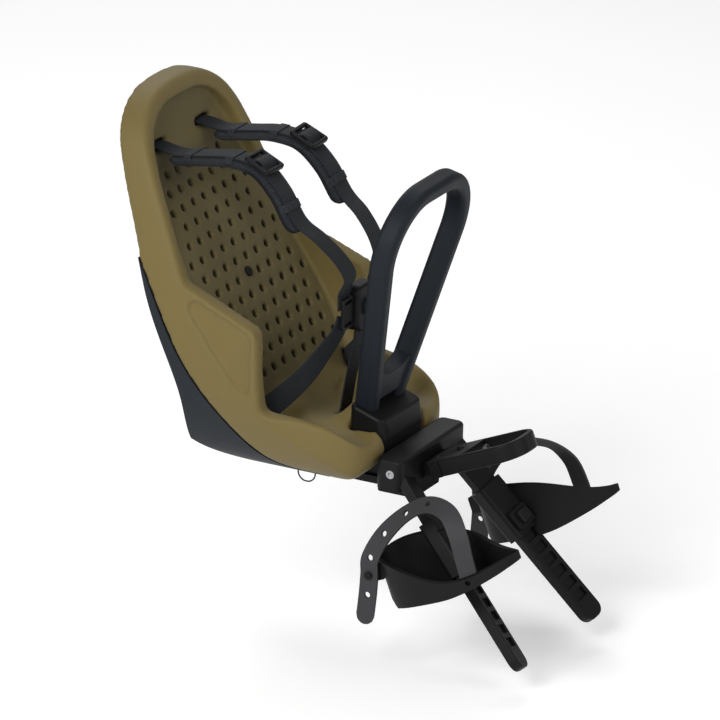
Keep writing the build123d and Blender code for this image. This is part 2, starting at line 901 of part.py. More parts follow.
with BuildPart() as clamp_bolts:
    with BuildSketch(bolt_plane(-bracket_web)):
        with Locations(*bolt_spots):
            Circle(bracket_bolt_head_radius)
    extrude(amount=-bracket_bolt_head)
    with BuildSketch(bolt_plane(-bracket_web - bracket_bolt_head)):
        with Locations(*bolt_spots):
            RegularPolygon(bracket_bolt_radius, 6, major_radius=False)
    extrude(amount=bracket_bolt_head * 0.6, mode=Mode.SUBTRACT)
    with BuildSketch(bolt_plane(-bracket_web)):
        with Locations(*bolt_spots):
            Circle(bracket_bolt_radius - bolt_fit)
    extrude(amount=bracket_bolt_length)

finish(clamp_bolts, "clamp_bolts")

# Footrest bars: flat bars with a ladder of notches on the inner front face
bar_start = Vector(*bar_top)
bar_vector = Vector(*bar_tip) - bar_start
bar_length = bar_vector.length
bar_along = bar_vector.normalized()
bar_facing = Vector(0, bar_along.Z, -bar_along.Y).normalized()
bar_across = bar_facing.cross(bar_along)
turn = radians(bar_turn)
bar_face = bar_facing * cos(turn) - bar_across * sin(turn)
bar_wide = bar_across * cos(turn) + bar_facing * sin(turn)


def across_bar(distance):
    """Plane across the left bar at a distance from its top; local X runs along its width."""
    return Plane(origin=bar_start + bar_along * distance, x_dir=bar_wide, z_dir=bar_along)


def on_bar(distance, height):
    """Plane on the left bar's ladder side; local X along the bar, height above its middle."""
    origin = bar_start + bar_along * distance + bar_face * height
    return Plane(origin=origin, x_dir=bar_along, z_dir=bar_face)


screw_level = bar_start - bar_along * (bar_root / 2)

with BuildPart() as footrest_bar_left:
    with BuildSketch(on_bar(0, -bar_thickness / 2)) as flat:
        with Locations(((bar_length - bar_root) / 2, 0)):
            Rectangle(bar_length + bar_root, bar_width)
        fillet(flat.vertices().group_by(Axis.X)[-1], bar_tip_radius)
    extrude(amount=bar_thickness)
    broad_faces = footrest_bar_left.faces().sort_by(Axis(bar_start, bar_face))
    fillet(broad_faces[0].edges() + broad_faces[-1].edges(), bar_round)
    ladder_end = bar_length - rung_tip_margin
    with BuildSketch(on_bar(ladder_end - (rung_count - 1) * rung_pitch / 2, bar_thickness / 2)):
        with GridLocations(rung_pitch, 0, rung_count, 1):
            RectangleRounded(rung_notch, rung_width, 1.5)
    extrude(amount=-rung_depth, mode=Mode.SUBTRACT)
    with BuildSketch(Plane(origin=screw_level, x_dir=(0, 1, 0), z_dir=(1, 0, 0))):
        Circle(bar_screw_radius)
    extrude(amount=bar_width, mode=Mode.SUBTRACT)

finish(footrest_bar_left, "footrest_bar_left")

with BuildPart() as footrest_bar_right:
    mirror(footrest_bar_left.part, about=Plane.YZ)

finish(footrest_bar_right, "footrest_bar_right")

bar_screw_seat = beam_half_width - bar_screw_head
bar_screw_end = screw_level.X + bar_width / 2 - bar_screw_bite

with BuildPart() as bar_screws:
    for sign in (1, -1):
        head = Plane(origin=(sign * bar_screw_seat, screw_level.Y, screw_level.Z), z_dir=(sign, 0, 0))
        with BuildSketch(head):
            Circle(bar_screw_head_radius)
        extrude(amount=bar_screw_head)
        with BuildSketch(head):
            Circle(bar_screw_radius - bolt_fit)
        extrude(amount=bar_screw_end - bar_screw_seat)

finish(bar_screws, "bar_screws")

# Carrier under the seat: plate, box round the bracket's tongue, and a beam with the bar sockets
with BuildPart() as bar_sockets:
    with BuildSketch(across_bar(-bar_root)):
        Rectangle(bar_width + 2 * bar_gap, bar_thickness + 2 * bar_gap)
    extrude(amount=bar_root + 60)
    mirror(about=Plane.YZ)

release_level = (box_bottom + seat_base - carrier_thickness) / 2

with BuildPart() as seat_carrier:
    with BuildSketch(Plane.XY.offset(beam_bottom)):
        with Locations((0, beam_front)):
            RectangleRounded(
                2 * beam_half_width,
                beam_rear - beam_front,
                beam_corner,
                align=(Align.CENTER, Align.MIN),
            )
    extrude(amount=beam_top - beam_bottom)
    fillet(seat_carrier.faces().sort_by(Axis.Z)[-1].edges(), beam_round)
    with BuildSketch(Plane.XY.offset(seat_base - carrier_thickness)):
        with Locations((0, beam_rear - plate_lap)):
            RectangleRounded(
                2 * carrier_half_width,
                carrier_rear - beam_rear + plate_lap,
                carrier_corner,
                align=(Align.CENTER, Align.MIN),
            )
    extrude(amount=carrier_thickness)
    with BuildSketch(Plane.XY.offset(box_bottom)):
        with Locations((0, beam_front + 6)):
            RectangleRounded(
                2 * box_half_width,
                box_rear - beam_front - 6,
                6,
                align=(Align.CENTER, Align.MIN),
            )
    extrude(amount=seat_base - box_bottom)
    add(bar_sockets.part, mode=Mode.SUBTRACT)
    with BuildSketch(clamp_plane.offset(bracket_bottom - mount_gap)):
        Rectangle(
            2 * (tongue_half_width + mount_gap),
            tongue_rear + mount_gap,
            align=(Align.CENTER, Align.MIN),
        )
    extrude(amount=clamp_thickness + 2 * mount_gap, mode=Mode.SUBTRACT)
    with BuildSketch(Plane.XY.offset(seat_base - carrier_thickness)):
        with Locations(*carrier_screw_spots):
            Circle(carrier_screw_radius)
    extrude(amount=carrier_thickness, mode=Mode.SUBTRACT)
    with BuildSketch(Plane.XY.offset(seat_base - carrier_thickness)):
        with Locations(*carrier_screw_spots):
            Circle(carrier_screw_head_radius + mount_gap)
    extrude(amount=carrier_screw_head, mode=Mode.SUBTRACT)
    for sign in (1, -1):
        end = Plane(origin=(sign * beam_half_width, screw_level.Y, screw_level.Z), z_dir=(-sign, 0, 0))
        with BuildSketch(end):
            Circle(bar_screw_head_radius + mount_gap)
        extrude(amount=bar_screw_head, mode=Mode.SUBTRACT)
        with BuildSketch(end):
            Circle(bar_screw_radius)
        extrude(amount=beam_half_width - screw_level.X, mode=Mode.SUBTRACT)
    with BuildSketch(Plane.XZ.offset(-box_rear)):
        with Locations((0, release_level)):
            Rectangle(release_width + 2 * mount_gap, release_height + 2 * mount_gap)
    extrude(amount=release_depth, mode=Mode.SUBTRACT)
    with BuildSketch(Plane(origin=(box_half_width, lock_y, release_level), z_dir=(-1, 0, 0))):
        Circle(lock_radius + lock_fit)
    extrude(amount=lock_length, mode=Mode.SUBTRACT)

finish(seat_carrier, "seat_carrier")

with BuildPart() as carrier_screws:
    with BuildSketch(Plane.XY.offset(seat_base - carrier_thickness)):
        with Locations(*carrier_screw_spots):
            Circle(carrier_screw_head_radius)
    extrude(amount=carrier_screw_head)
    with BuildSketch(Plane.XY.offset(seat_base - carrier_thickness)):
        with Locations(*carrier_screw_spots):
            Circle(carrier_screw_radius - bolt_fit)
    extrude(amount=carrier_screw_length)

finish(carrier_screws, "carrier_screws")

with BuildPart() as release_button:
    with BuildSketch(Plane.XZ.offset(-(box_rear + release_proud))):
        with Locations((0, release_level)):
            RectangleRounded(release_width, release_height, 2.5)
    extrude(amount=release_proud + release_depth - release_travel - mount_gap)
    fillet(release_button.faces().sort_by(Axis.Y)[-1].edges(), 1.5)

finish(release_button, "release_button")

with BuildPart() as lock_cylinder:
    face = Plane(origin=(box_half_width + lock_proud, lock_y, release_level), z_dir=(-1, 0, 0))
    with BuildSketch(face):
        Circle(lock_radius)
    extrude(amount=lock_proud + lock_length - mount_gap)
    with BuildSketch(face):
        Rectangle(keyhole[0], keyhole[1])
    extrude(amount=keyhole[2], mode=Mode.SUBTRACT)

finish(lock_cylinder, "lock_cylinder")

# Footrests: scoop cups that slide on the bars
toe_way = (0, -cos(radians(sole_pitch)), sin(radians(sole_pitch)))
sole_up = (0, sin(radians(sole_pitch)), cos(radians(sole_pitch)))
sole_plane = Plane(origin=(0, *sole_point), x_dir=toe_way, z_dir=sole_up)
side_of_sole = Plane(origin=(0, *sole_point), x_dir=toe_way, z_dir=(-1, 0, 0))


def cup_form(inset):
    """Footrest's cup as a solid block: sole outline cut by its side outline, moved inwards."""
    with BuildPart() as cup:
        with BuildSketch(sole_plane.offset(-2)):
            with BuildLine():
                Spline(
                    (heel_back + inset, 106),
                    (-38 + inset, 84 + inset),
                    (0, 75 + inset),
                    (50, 81 + inset),
                    (88 - inset, 97 + inset),
                    (toe_tip - inset, 112),
                    (92 - inset, 127 - inset),
                    (50, 137 - inset),
                    (0, 139 - inset),
                    (-36 + inset, 130 - inset),
                    periodic=True,
                )
            make_face()
        extrude(amount=cup_height + 10)
        with BuildSketch(side_of_sole.offset(-side_reach)):
            with BuildLine():
                heel = Polyline(
                    (heel_back - 12, cup_height),
                    (heel_back - 2 + inset, 18),
                    (-38 + inset, inset),
                    (18, inset),
                )
                sole = Spline(
                    heel @ 1,
                    (70 - inset / 2, 8 + inset),
                    (toe_tip + 8 - inset, toe_rise + inset),
                    tangents=((1, 0), (0.8, 0.5)),
                    tangent_scalars=even_ends,
                )
                Polyline(sole @ 1, (toe_tip + 8 - inset, cup_height), heel @ 0)
            make_face()
        extrude(amount=side_reach, mode=Mode.INTERSECT)
    return cup


# Foot strap's route on the left: place along the sole, X, height; and the direction across it
foot_strap_route = [
    ((57, 130.6, 13), (-1, 0.15, 0)),
    ((58, 130.4, 36), (-1, 0.12, 0)),
    ((57, 126, 62), (-0.9, 0.3, -0.2)),
    ((47, 115, 84), (-0.55, 0.7, -0.45)),
    ((22, 106, 95), (0, 0.8, -0.6)),
    ((-6, 107, 91), (0.45, 0.65, -0.6)),
    ((-33, 116, 77), (0.7, 0.3, -0.6)),
    ((-54, 123, 57), (0.85, 0.05, -0.5)),
    ((-61, 124.5, 40), (0.87, 0, -0.48)),
    ((-70, 125.5, 20), (0.88, 0, -0.47)),
    ((-80, 126.5, 0), (0.88, 0, -0.47)),
]
strap_hole_stations = (4, 5, 6, 7, 8, 9)
peg_station = 8
stud_station = 0


def sole_spot(along, x, up):
    """Point in the part's frame from a place along the sole, its X and its height over it."""
    return Vector(*sole_plane.from_local_coords((along, x, up)))


def foot_strap_planes():
    """Section planes of the left foot strap along its route."""
    places = [sole_spot(*place) for place, across in foot_strap_route]
    planes = []
    for index, (place, across) in enumerate(foot_strap_route):
        before = places[max(index - 1, 0)]
        after = places[min(index + 1, len(places) - 1)]
        wide = sole_spot(*across) - sole_spot(0, 0, 0)
        planes.append(Plane(origin=places[index], x_dir=wide, z_dir=after - before))
    return planes


foot_strap_sections = foot_strap_planes()


def on_strap(station):
    """Plane on the foot strap's middle at a station, facing along its thickness."""
    section_plane = foot_strap_sections[station]
    return Plane(origin=section_plane.origin, x_dir=section_plane.x_dir, z_dir=section_plane.y_dir)


inner_rim = [(-70, 66), (-27, 65), (8, 62), (60, 54), (92, 42), (125, 30)]
outer_rim = [(-70, 50), (-24, 41), (31, 17), (72, 17), (98, 23), (125, 30)]
rim_inside = 74.0
rim_outside = 140.0
guide_width = bar_width + 2 * (guide_gap + guide_wall)
guide_depth = bar_thickness + 2 * (guide_gap + guide_wall)
latch_base = bar_thickness / 2 + guide_gap + latch_travel + button_gap
latch_top = guide_depth / 2 + 6.5
peg_center = (foot_strap_route[peg_station][0][0], foot_strap_route[peg_station][0][2])
peg_strap_x = foot_strap_route[peg_station][0][1]
heel_tab_center = (peg_center[0] + 5, peg_center[1])
heel_tab_size = 18.0
heel_tab_inside = 106.0
heel_tab_outside = peg_strap_x - 1.5 * foot_strap_thickness
peg_end = peg_strap_x + foot_strap_thickness
stud_point = foot_strap_sections[stud_station].origin
stud_plane = Plane(origin=stud_point, x_dir=(0, 1, 0), z_dir=(1, 0, 0))
stud_length = 9.0
cup_outer = cup_form(0.0)
cup_inner = cup_form(foot_wall)

with BuildPart() as rim_cutter:
    for rim, place in ((inner_rim, rim_inside), (outer_rim, rim_outside)):
        with BuildSketch(side_of_sole.offset(-place)):
            with BuildLine():
                edge = Spline(*rim)
                Polyline(edge @ 1, (125, 100), (-70, 100), edge @ 0)
            make_face()
    loft(ruled=True)

with BuildPart() as footrest_left:
    add(cup_outer.part)
    add(cup_inner.part, mode=Mode.SUBTRACT)
    add(rim_cutter.part, mode=Mode.SUBTRACT)
    with BuildSketch(across_bar(guide_start)):
        RectangleRounded(guide_width, guide_depth, 4)
    extrude(amount=guide_end - guide_start)
    with BuildSketch(on_bar(latch_place, 0)):
        RectangleRounded(latch_length + 2 * latch_rim, latch_width + 2 * latch_rim, latch_rim / 2)
    extrude(amount=latch_top)
    with BuildSketch(across_bar(guide_start - 60)):
        Rectangle(bar_width + 2 * guide_gap, bar_thickness + 2 * guide_gap)
    extrude(amount=guide_end - guide_start + 120, mode=Mode.SUBTRACT)
    with BuildSketch(on_bar(latch_place, 0)):
        Rectangle(latch_length + 2 * button_gap, latch_width + 2 * button_gap)
    extrude(amount=latch_top + 10, mode=Mode.SUBTRACT)
    with BuildSketch(side_of_sole.offset(-heel_tab_inside)):
        with Locations(heel_tab_center):
            RectangleRounded(heel_tab_size, heel_tab_size, peg_radius)
    extrude(amount=heel_tab_inside - heel_tab_outside)
    with BuildSketch(side_of_sole.offset(-heel_tab_outside)):
        with Locations(peg_center):
            Circle(peg_radius)
    extrude(amount=heel_tab_outside - peg_end)
    with BuildSketch(side_of_sole.offset(-peg_end)):
        with Locations(peg_center):
            Circle(peg_head_radius)
    extrude(amount=-foot_strap_thickness / 2)
    with BuildSketch(stud_plane):
        Circle(stud_radius + stud_fit)
    extrude(amount=stud_length, mode=Mode.SUBTRACT)

finish(footrest_left, "footrest_left")

with BuildPart() as footrest_right:
    mirror(footrest_left.part, about=Plane.YZ)

finish(footrest_right, "footrest_right")

with BuildPart() as footrest_button_left:
    with BuildSketch(on_bar(latch_place, latch_base)):
        RectangleRounded(latch_length, latch_width, 2)
    extrude(amount=latch_top + latch_proud - latch_base)
    press_face = footrest_button_left.faces().sort_by(Axis(bar_start, bar_face))[-1]
    fillet(press_face.edges(), latch_round)

finish(footrest_button_left, "footrest_button_left")

with BuildPart() as footrest_button_right:
    mirror(footrest_button_left.part, about=Plane.YZ)

finish(footrest_button_right, "footrest_button_right")

# Foot straps: rubber straps from the outer sill over the instep to the peg at the heel
with BuildPart() as foot_strap_left:
    for plane in foot_strap_sections:
        with BuildSketch(plane):
            Rectangle(foot_strap_width, foot_strap_thickness)
    loft()
    with BuildSketch(on_strap(-1).offset(-foot_strap_thickness / 2)):
        Circle(foot_strap_width / 2)
    extrude(amount=foot_strap_thickness)
    for station in strap_hole_stations:
        with BuildSketch(on_strap(station).offset(-2 * foot_strap_thickness)):
            Circle(strap_hole_radius)
        extrude(amount=4 * foot_strap_thickness, mode=Mode.SUBTRACT)
    with BuildSketch(stud_plane):
        Circle(stud_radius)
    extrude(amount=stud_length)

finish(foot_strap_left, "foot_strap_left")

with BuildPart() as foot_strap_right:
    mirror(foot_strap_left.part, about=Plane.YZ)

finish(foot_strap_right, "foot_strap_right")

# Pull loop: bent wire under the seat beside the carrier
with BuildPart() as pull_loop:
    with BuildLine(Plane.YZ.offset(-carrier_half_width - loop_offset)) as bend:
        FilletPolyline(
            (136, seat_base),
            (136, seat_base - loop_drop),
            (156, seat_base - loop_drop),
            (156, seat_base),
            radius=loop_corner,
        )
    with BuildSketch(Plane(origin=bend.line @ 0, z_dir=bend.line % 0)):
        Circle(loop_wire / 2)
    sweep(path=bend.line)

finish(pull_loop, "pull_loop")
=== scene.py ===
"""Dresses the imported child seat: foam pad, harness, foot straps, finishes, studio and camera."""

from __future__ import annotations

import json
import logging
import math
from dataclasses import dataclass
from enum import Enum
from typing import Callable, Sequence

import bpy
from mathutils import Matrix, Vector
from mathutils.bvhtree import BVHTree

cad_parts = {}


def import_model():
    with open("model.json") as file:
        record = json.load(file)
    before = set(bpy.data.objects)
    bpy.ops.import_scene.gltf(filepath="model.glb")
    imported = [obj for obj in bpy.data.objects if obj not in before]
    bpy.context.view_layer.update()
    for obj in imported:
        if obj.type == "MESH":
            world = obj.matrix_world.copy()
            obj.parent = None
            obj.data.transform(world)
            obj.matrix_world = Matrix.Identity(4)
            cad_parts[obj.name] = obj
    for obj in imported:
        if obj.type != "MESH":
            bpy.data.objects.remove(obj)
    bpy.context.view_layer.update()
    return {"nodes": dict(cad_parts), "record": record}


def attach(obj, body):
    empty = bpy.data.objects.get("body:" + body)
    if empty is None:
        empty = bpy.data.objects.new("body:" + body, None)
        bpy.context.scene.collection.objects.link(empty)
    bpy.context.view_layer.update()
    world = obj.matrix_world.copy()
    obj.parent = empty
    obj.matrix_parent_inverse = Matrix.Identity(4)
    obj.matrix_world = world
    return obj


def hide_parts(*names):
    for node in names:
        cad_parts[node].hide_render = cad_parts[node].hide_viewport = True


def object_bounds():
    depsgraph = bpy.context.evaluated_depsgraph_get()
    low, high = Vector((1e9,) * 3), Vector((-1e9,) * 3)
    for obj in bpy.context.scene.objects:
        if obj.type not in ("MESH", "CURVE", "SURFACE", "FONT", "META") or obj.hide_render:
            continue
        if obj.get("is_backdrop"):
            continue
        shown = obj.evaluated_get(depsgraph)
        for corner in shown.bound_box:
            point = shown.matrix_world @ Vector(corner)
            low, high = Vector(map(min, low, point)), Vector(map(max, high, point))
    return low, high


MM = 0.001
MERGE = 1e-5
FINE_MERGE = 1e-6
LOG = logging.getLogger("child_seat")
Point = tuple[float, float, float]
Surface = Callable[[float, float], Vector]
Profile = Sequence[tuple[float, float]]
Shares = list[tuple[float, float]]


class Slot(str, Enum):
    """Material slots of the record."""

    PAD = "pad_foam"
    SHELL = "shell_plastic"
    BLACK = "black_plastic"
    BUTTON = "button_plastic"
    GRIP = "soft_grip"
    WEBBING = "webbing"
    SLEEVE = "sleeve_fabric"
    RUBBER = "strap_rubber"
    SHIM = "shim_rubber"
    STEEL = "screw_steel"
    LOCK = "lock_metal"
    WIRE = "wire_black"


class Side(Enum):
    """Sides of the seat, with the sign of X on each."""

    LEFT = 1
    RIGHT = -1

    @property
    def word(self) -> str:
        """Name of the side as the nodes write it."""
        return self.name.lower()


def ramp(value: float, low: float, high: float) -> float:
    """Share of the way between two limits, held between nought and one.

    Args:
        value: value that is placed.
        low: value at nought.
        high: value at one.

    Returns:
        The share.
    """
    return min(max((value - low) / (high - low), 0.0), 1.0)


def along_profile(profile: Profile, place: float) -> float:
    """Value of a profile at a place, in straight runs between its points.

    Args:
        profile: pairs of place and value, in rising order of place.
        place: where the value is wanted.

    Returns:
        The value, held at the ends.
    """
    for (low, first), (high, last) in zip(profile, profile[1:]):
        if place <= high:
            return first + (last - first) * ramp(place, low, high)
    return profile[-1][1]


class Value:
    """A shader socket that takes part in Python expressions."""

    def __init__(self, tree: "ShaderTree", socket: bpy.types.NodeSocket) -> None:
        """Keep the socket and the tree that it belongs to."""
        self.tree = tree
        self.socket = socket

    def math(self, operation: str, other: "Value | float" = 0.0, swapped: bool = False) -> "Value":
        """Add one Math node.

        Args:
            operation: name of the operation.
            other: second operand.
            swapped: True where the other operand comes first.

        Returns:
            The node's output.
        """
        first, second = (other, self) if swapped else (self, other)
        return self.tree.node("ShaderNodeMath", {"operation": operation}, {0: first, 1: second})

    def __add__(self, other: "Value | float") -> "Value":
        """Sum of two values."""
        return self.math("ADD", other)

    def __radd__(self, other: float) -> "Value":
        """Sum of a number and a value."""
        return self.math("ADD", other, True)

    def __sub__(self, other: "Value | float") -> "Value":
        """Difference of two values."""
        return self.math("SUBTRACT", other)

    def __rsub__(self, other: float) -> "Value":
        """Difference of a number and a value."""
        return self.math("SUBTRACT", other, True)

    def __mul__(self, other: "Value | float") -> "Value":
        """Product of two values."""
        return self.math("MULTIPLY", other)

    def __rmul__(self, other: float) -> "Value":
        """Product of a number and a value."""
        return self.math("MULTIPLY", other, True)

    def sine(self) -> "Value":
        """Sine of the value, in radians."""
        return self.math("SINE")

    def floor(self) -> "Value":
        """Whole number below the value."""
        return self.math("FLOOR")


class ShaderTree:
    """Node tree of one finish."""

    def __init__(self, name: str) -> None:
        """Start an empty material with that name."""
        self.material = bpy.data.materials.new(name)
        self.material.use_nodes = True
        self.material.node_tree.nodes.clear()

    def add(
        self, kind: str, settings: dict[str, object] | None, sockets: dict[int | str, object] | None
    ) -> bpy.types.Node:
        """Add a node.

        Args:
            kind: node type.
            settings: properties, set first.
            sockets: values or links of its inputs, by name or place.

        Returns:
            The node.
        """
        made = self.material.node_tree.nodes.new(kind)
        for key, setting in (settings or {}).items():
            setattr(made, key, setting)
        for key, value in (sockets or {}).items():
            if isinstance(value, Value):
                self.material.node_tree.links.new(value.socket, made.inputs[key])
            else:
                made.inputs[key].default_value = value
        return made

    def node(
        self,
        kind: str,
        settings: dict[str, object] | None = None,
        sockets: dict[int | str, object] | None = None,
        output: int | str = 0,
    ) -> Value:
        """Add a node and take one of its outputs.

        Args:
            kind: node type.
            settings: properties, set first.
            sockets: values or links of its inputs, by name or place.
            output: the output that is wanted.

        Returns:
            That output.
        """
        return Value(self, self.add(kind, settings, sockets).outputs[output])

    def place(self) -> Value:
        """Object coordinates, in metres."""
        return self.node("ShaderNodeTexCoord", output="Object")

    def mark(self, name: str) -> Value:
        """Attribute of the mesh, between nought and one."""
        return self.node("ShaderNodeAttribute", {"attribute_name": name}, {}, "Fac")

    def seen(self) -> Value:
        """One for what the camera sees, straight or in a reflection, and nought for light."""
        path = self.add("ShaderNodeLightPath", {}, {})
        names = ("Is Camera Ray", "Is Glossy Ray", "Is Transmission Ray")
        straight, glossy, through = (Value(self, path.outputs[name]) for name in names)
        return (straight + glossy + through).math("MINIMUM", 1.0)

    def noise(self, place: Value, scale: float, detail: float = 2.0) -> Value:
        """Noise between nought and one.

        Args:
            place: coordinates it reads.
            scale: cells to the metre.
            detail: octaves.

        Returns:
            The noise.
        """
        sockets = {"Vector": place, "Scale": scale, "Detail": detail}
        return self.node("ShaderNodeTexNoise", {}, sockets, "Fac")

    def mix(self, factor: Value, first: Value | Point, second: Value | Point) -> Value:
        """Mix two colours.

        Args:
            factor: share of the second colour.
            first: colour, or link, at nought.
            second: colour, or link, at one.

        Returns:
            The mixed colour.
        """
        sockets = {0: factor, 6: first, 7: second}
        for key in (6, 7):
            if not isinstance(sockets[key], Value):
                sockets[key] = (*sockets[key], 1.0)
        return self.node("ShaderNodeMix", {"data_type": "RGBA"}, sockets, 2)

    def bump(self, height: Value, depth: float, strength: float = 1.0) -> Value:
        """Bump from a height between nought and one.

        Args:
            height: the height.
            depth: metres that a height of one stands for.
            strength: how much of it shows.

        Returns:
            The normal.
        """
        sockets = {"Strength": strength, "Distance": depth, "Height": height}
        return self.node("ShaderNodeBump", {}, sockets, "Normal")

    def finish(self, sockets: dict[str, object]) -> bpy.types.Material:
        """Close the tree with a Principled shader.

        Args:
            sockets: values and links of the shader.

        Returns:
            The material.
        """
        shader = self.node("ShaderNodeBsdfPrincipled", {}, sockets, "BSDF")
        self.add("ShaderNodeOutputMaterial", {}, {"Surface": shader})
        return self.material


def shade(colour: Point, factor: float) -> Point:
    """Colour made darker or lighter.

    Args:
        colour: linear colour.
        factor: what each channel is multiplied by.

    Returns:
        The colour.
    """
    return tuple(min(1.0, factor * channel) for channel in colour)


@dataclass(frozen=True)
class FoamFinish:
    """Matte skin of the moulded foam pad: fine pebble, soft blotches, painted shade inside the
    bucket and down the perforations.
    """

    name: str = "olive_foam"
    colour: Point = (0.158, 0.117, 0.034)
    # Painted shade: a darker, greyer colour laid over the inside of the bucket, where the rim and
    # wings shade it.
    painted_inner_shade: Point = (0.118, 0.092, 0.030)
    # Painted shade down the perforations: how much darker than the bucket's inside tone.
    hole_shade_tone: float = 0.4
    dull_tone: float = 0.78
    blotch_scale: float = 9.0
    grain_scale: float = 620.0
    grain_depth: float = 0.0004
    roughness: float = 0.52
    specular: float = 0.28
    sheen: float = 0.05
    sheen_roughness: float = 0.6

    def build(self) -> bpy.types.Material:
        """Make the material."""
        tree = ShaderTree(self.name)
        place = tree.place()
        blotch = tree.noise(place, self.blotch_scale, 3.0)
        grain = tree.noise(place, self.grain_scale, 3.0)
        # The "inside" mark is the share of painted shade over the bucket's inside.
        inside = tree.mark("inside")
        base_with_painted_shade = tree.mix(inside, self.colour, self.painted_inner_shade)
        dull_outer, dull_painted_inner_shade = (shade(tone, self.dull_tone) for tone in (self.colour, self.painted_inner_shade))
        dull = tree.mix(inside, dull_outer, dull_painted_inner_shade)
        skin = tree.mix(blotch * 0.5 + grain * 0.25, base_with_painted_shade, dull)
        # Painted shade: the perforations' walls darken with depth, where shade falls.
        hole = shade(self.painted_inner_shade, self.hole_shade_tone)
        return tree.finish(
            {
                "Base Color": tree.mix(tree.mark("hole"), skin, hole),
                "Roughness": self.roughness + grain * 0.2,
                "Normal": tree.bump(grain, self.grain_depth, 0.6),
                "Specular IOR Level": self.specular,
                "Sheen Weight": self.sheen,
                "Sheen Roughness": self.sheen_roughness,
            }
        )


@dataclass(frozen=True)
class PlasticFinish:
    """Moulded plastic or rubber with a fine eroded texture and faint cloudy wear."""

    name: str
    colour: Point
    roughness: float = 0.5
    grain: float = 900.0
    depth: float = 0.00018
    specular: float = 0.16
    cloud_scale: float = 14.0
    worn_tone: float = 1.4

    def build(self) -> bpy.types.Material:
        """Make the material."""
        tree = ShaderTree(self.name)
        place = tree.place()
        speckle = tree.noise(place, self.grain, 2.0)
        cloud = tree.noise(place, self.cloud_scale, 4.0)
        worn = shade(self.colour, self.worn_tone)
        return tree.finish(
            {
                "Base Color": tree.mix(cloud * 0.6 + speckle * 0.25, self.colour, worn),
                "Roughness": self.roughness - 0.1 + cloud * 0.12 + speckle * 0.1,
                "Normal": tree.bump(speckle, self.depth, 0.5),
                "Specular IOR Level": self.specular,
            }
        )


@dataclass(frozen=True)
class MetalFinish:
    """Plain or plated metal with fine brushing."""

    name: str
    colour: Point
    roughness: float
    brush_scale: float = 1500.0
    brush_tone: float = 0.8

    def build(self) -> bpy.types.Material:
        """Make the material."""
        tree = ShaderTree(self.name)
        brushed = tree.noise(tree.place(), self.brush_scale, 2.0)
        return tree.finish(
            {
                "Base Color": tree.mix(brushed, self.colour, shade(self.colour, self.brush_tone)),
                "Metallic": 1.0,
                "Roughness": self.roughness + brushed * 0.12,
            }
        )


@dataclass(frozen=True)
class WebbingFinish:
    """Woven webbing: ribs across the strap in staggered columns, on its UV map in metres."""

    name: str = "woven_webbing"
    colour: Point = (0.007, 0.0082, 0.0105)
    thread: Point = (0.021, 0.024, 0.029)
    rib: float = 0.0017
    column: float = 0.0025
    fuzz_scale: float = 300.0
    depth: float = 0.0004
    roughness: float = 0.62
    specular: float = 0.2
    sheen: float = 0.03
    sheen_roughness: float = 0.5

    def build(self) -> bpy.types.Material:
        """Make the material."""
        tree = ShaderTree(self.name)
        uv = tree.node("ShaderNodeUVMap", {"uv_map": "strap"}, {}, "UV")
        across = tree.node("ShaderNodeSeparateXYZ", {}, {"Vector": uv}, "X")
        along = tree.node("ShaderNodeSeparateXYZ", {}, {"Vector": uv}, "Y")
        stagger = (across * (1.0 / self.column)).floor() * math.pi
        ribs = (along * (2.0 * math.pi / self.rib) + stagger).sine() * 0.5 + 0.5
        fuzz = tree.noise(tree.place(), self.fuzz_scale, 3.0)
        return tree.finish(
            {
                "Base Color": tree.mix(ribs * 0.6 + fuzz * 0.3, self.colour, self.thread),
                "Roughness": self.roughness + fuzz * 0.16,
                "Normal": tree.bump(ribs + fuzz * 0.3, self.depth, 0.9),
                "Specular IOR Level": self.specular,
                "Sheen Weight": self.sheen,
                "Sheen Roughness": self.sheen_roughness,
            }
        )


@dataclass(frozen=True)
class SleeveFinish:
    """Padded sleeve's mesh cloth with a darker bound edge."""

    name: str = "sleeve_cloth"
    colour: Point = (0.008, 0.0094, 0.012)
    thread: Point = (0.024, 0.027, 0.033)
    cell: float = 0.0028
    fuzz_scale: float = 240.0
    depth: float = 0.0005
    binding_tone: float = 0.6
    roughness: float = 0.7
    specular: float = 0.2
    sheen: float = 0.04
    sheen_roughness: float = 0.5

    def build(self) -> bpy.types.Material:
        """Make the material."""
        tree = ShaderTree(self.name)
        place = tree.place()
        sockets = {"Vector": place, "Scale": 1.0 / self.cell}
        cells = tree.node("ShaderNodeTexVoronoi", {}, sockets, "Distance")
        fuzz = tree.noise(place, self.fuzz_scale, 3.0)
        cloth = tree.mix(cells * 0.9, self.colour, self.thread)
        binding = shade(self.colour, self.binding_tone)
        return tree.finish(
            {
                "Base Color": tree.mix(tree.mark("binding"), cloth, binding),
                "Roughness": self.roughness + fuzz * 0.16,
                "Normal": tree.bump(cells + fuzz * 0.4, self.depth, 0.6),
                "Specular IOR Level": self.specular,
                "Sheen Weight": self.sheen,
                "Sheen Roughness": self.sheen_roughness,
            }
        )


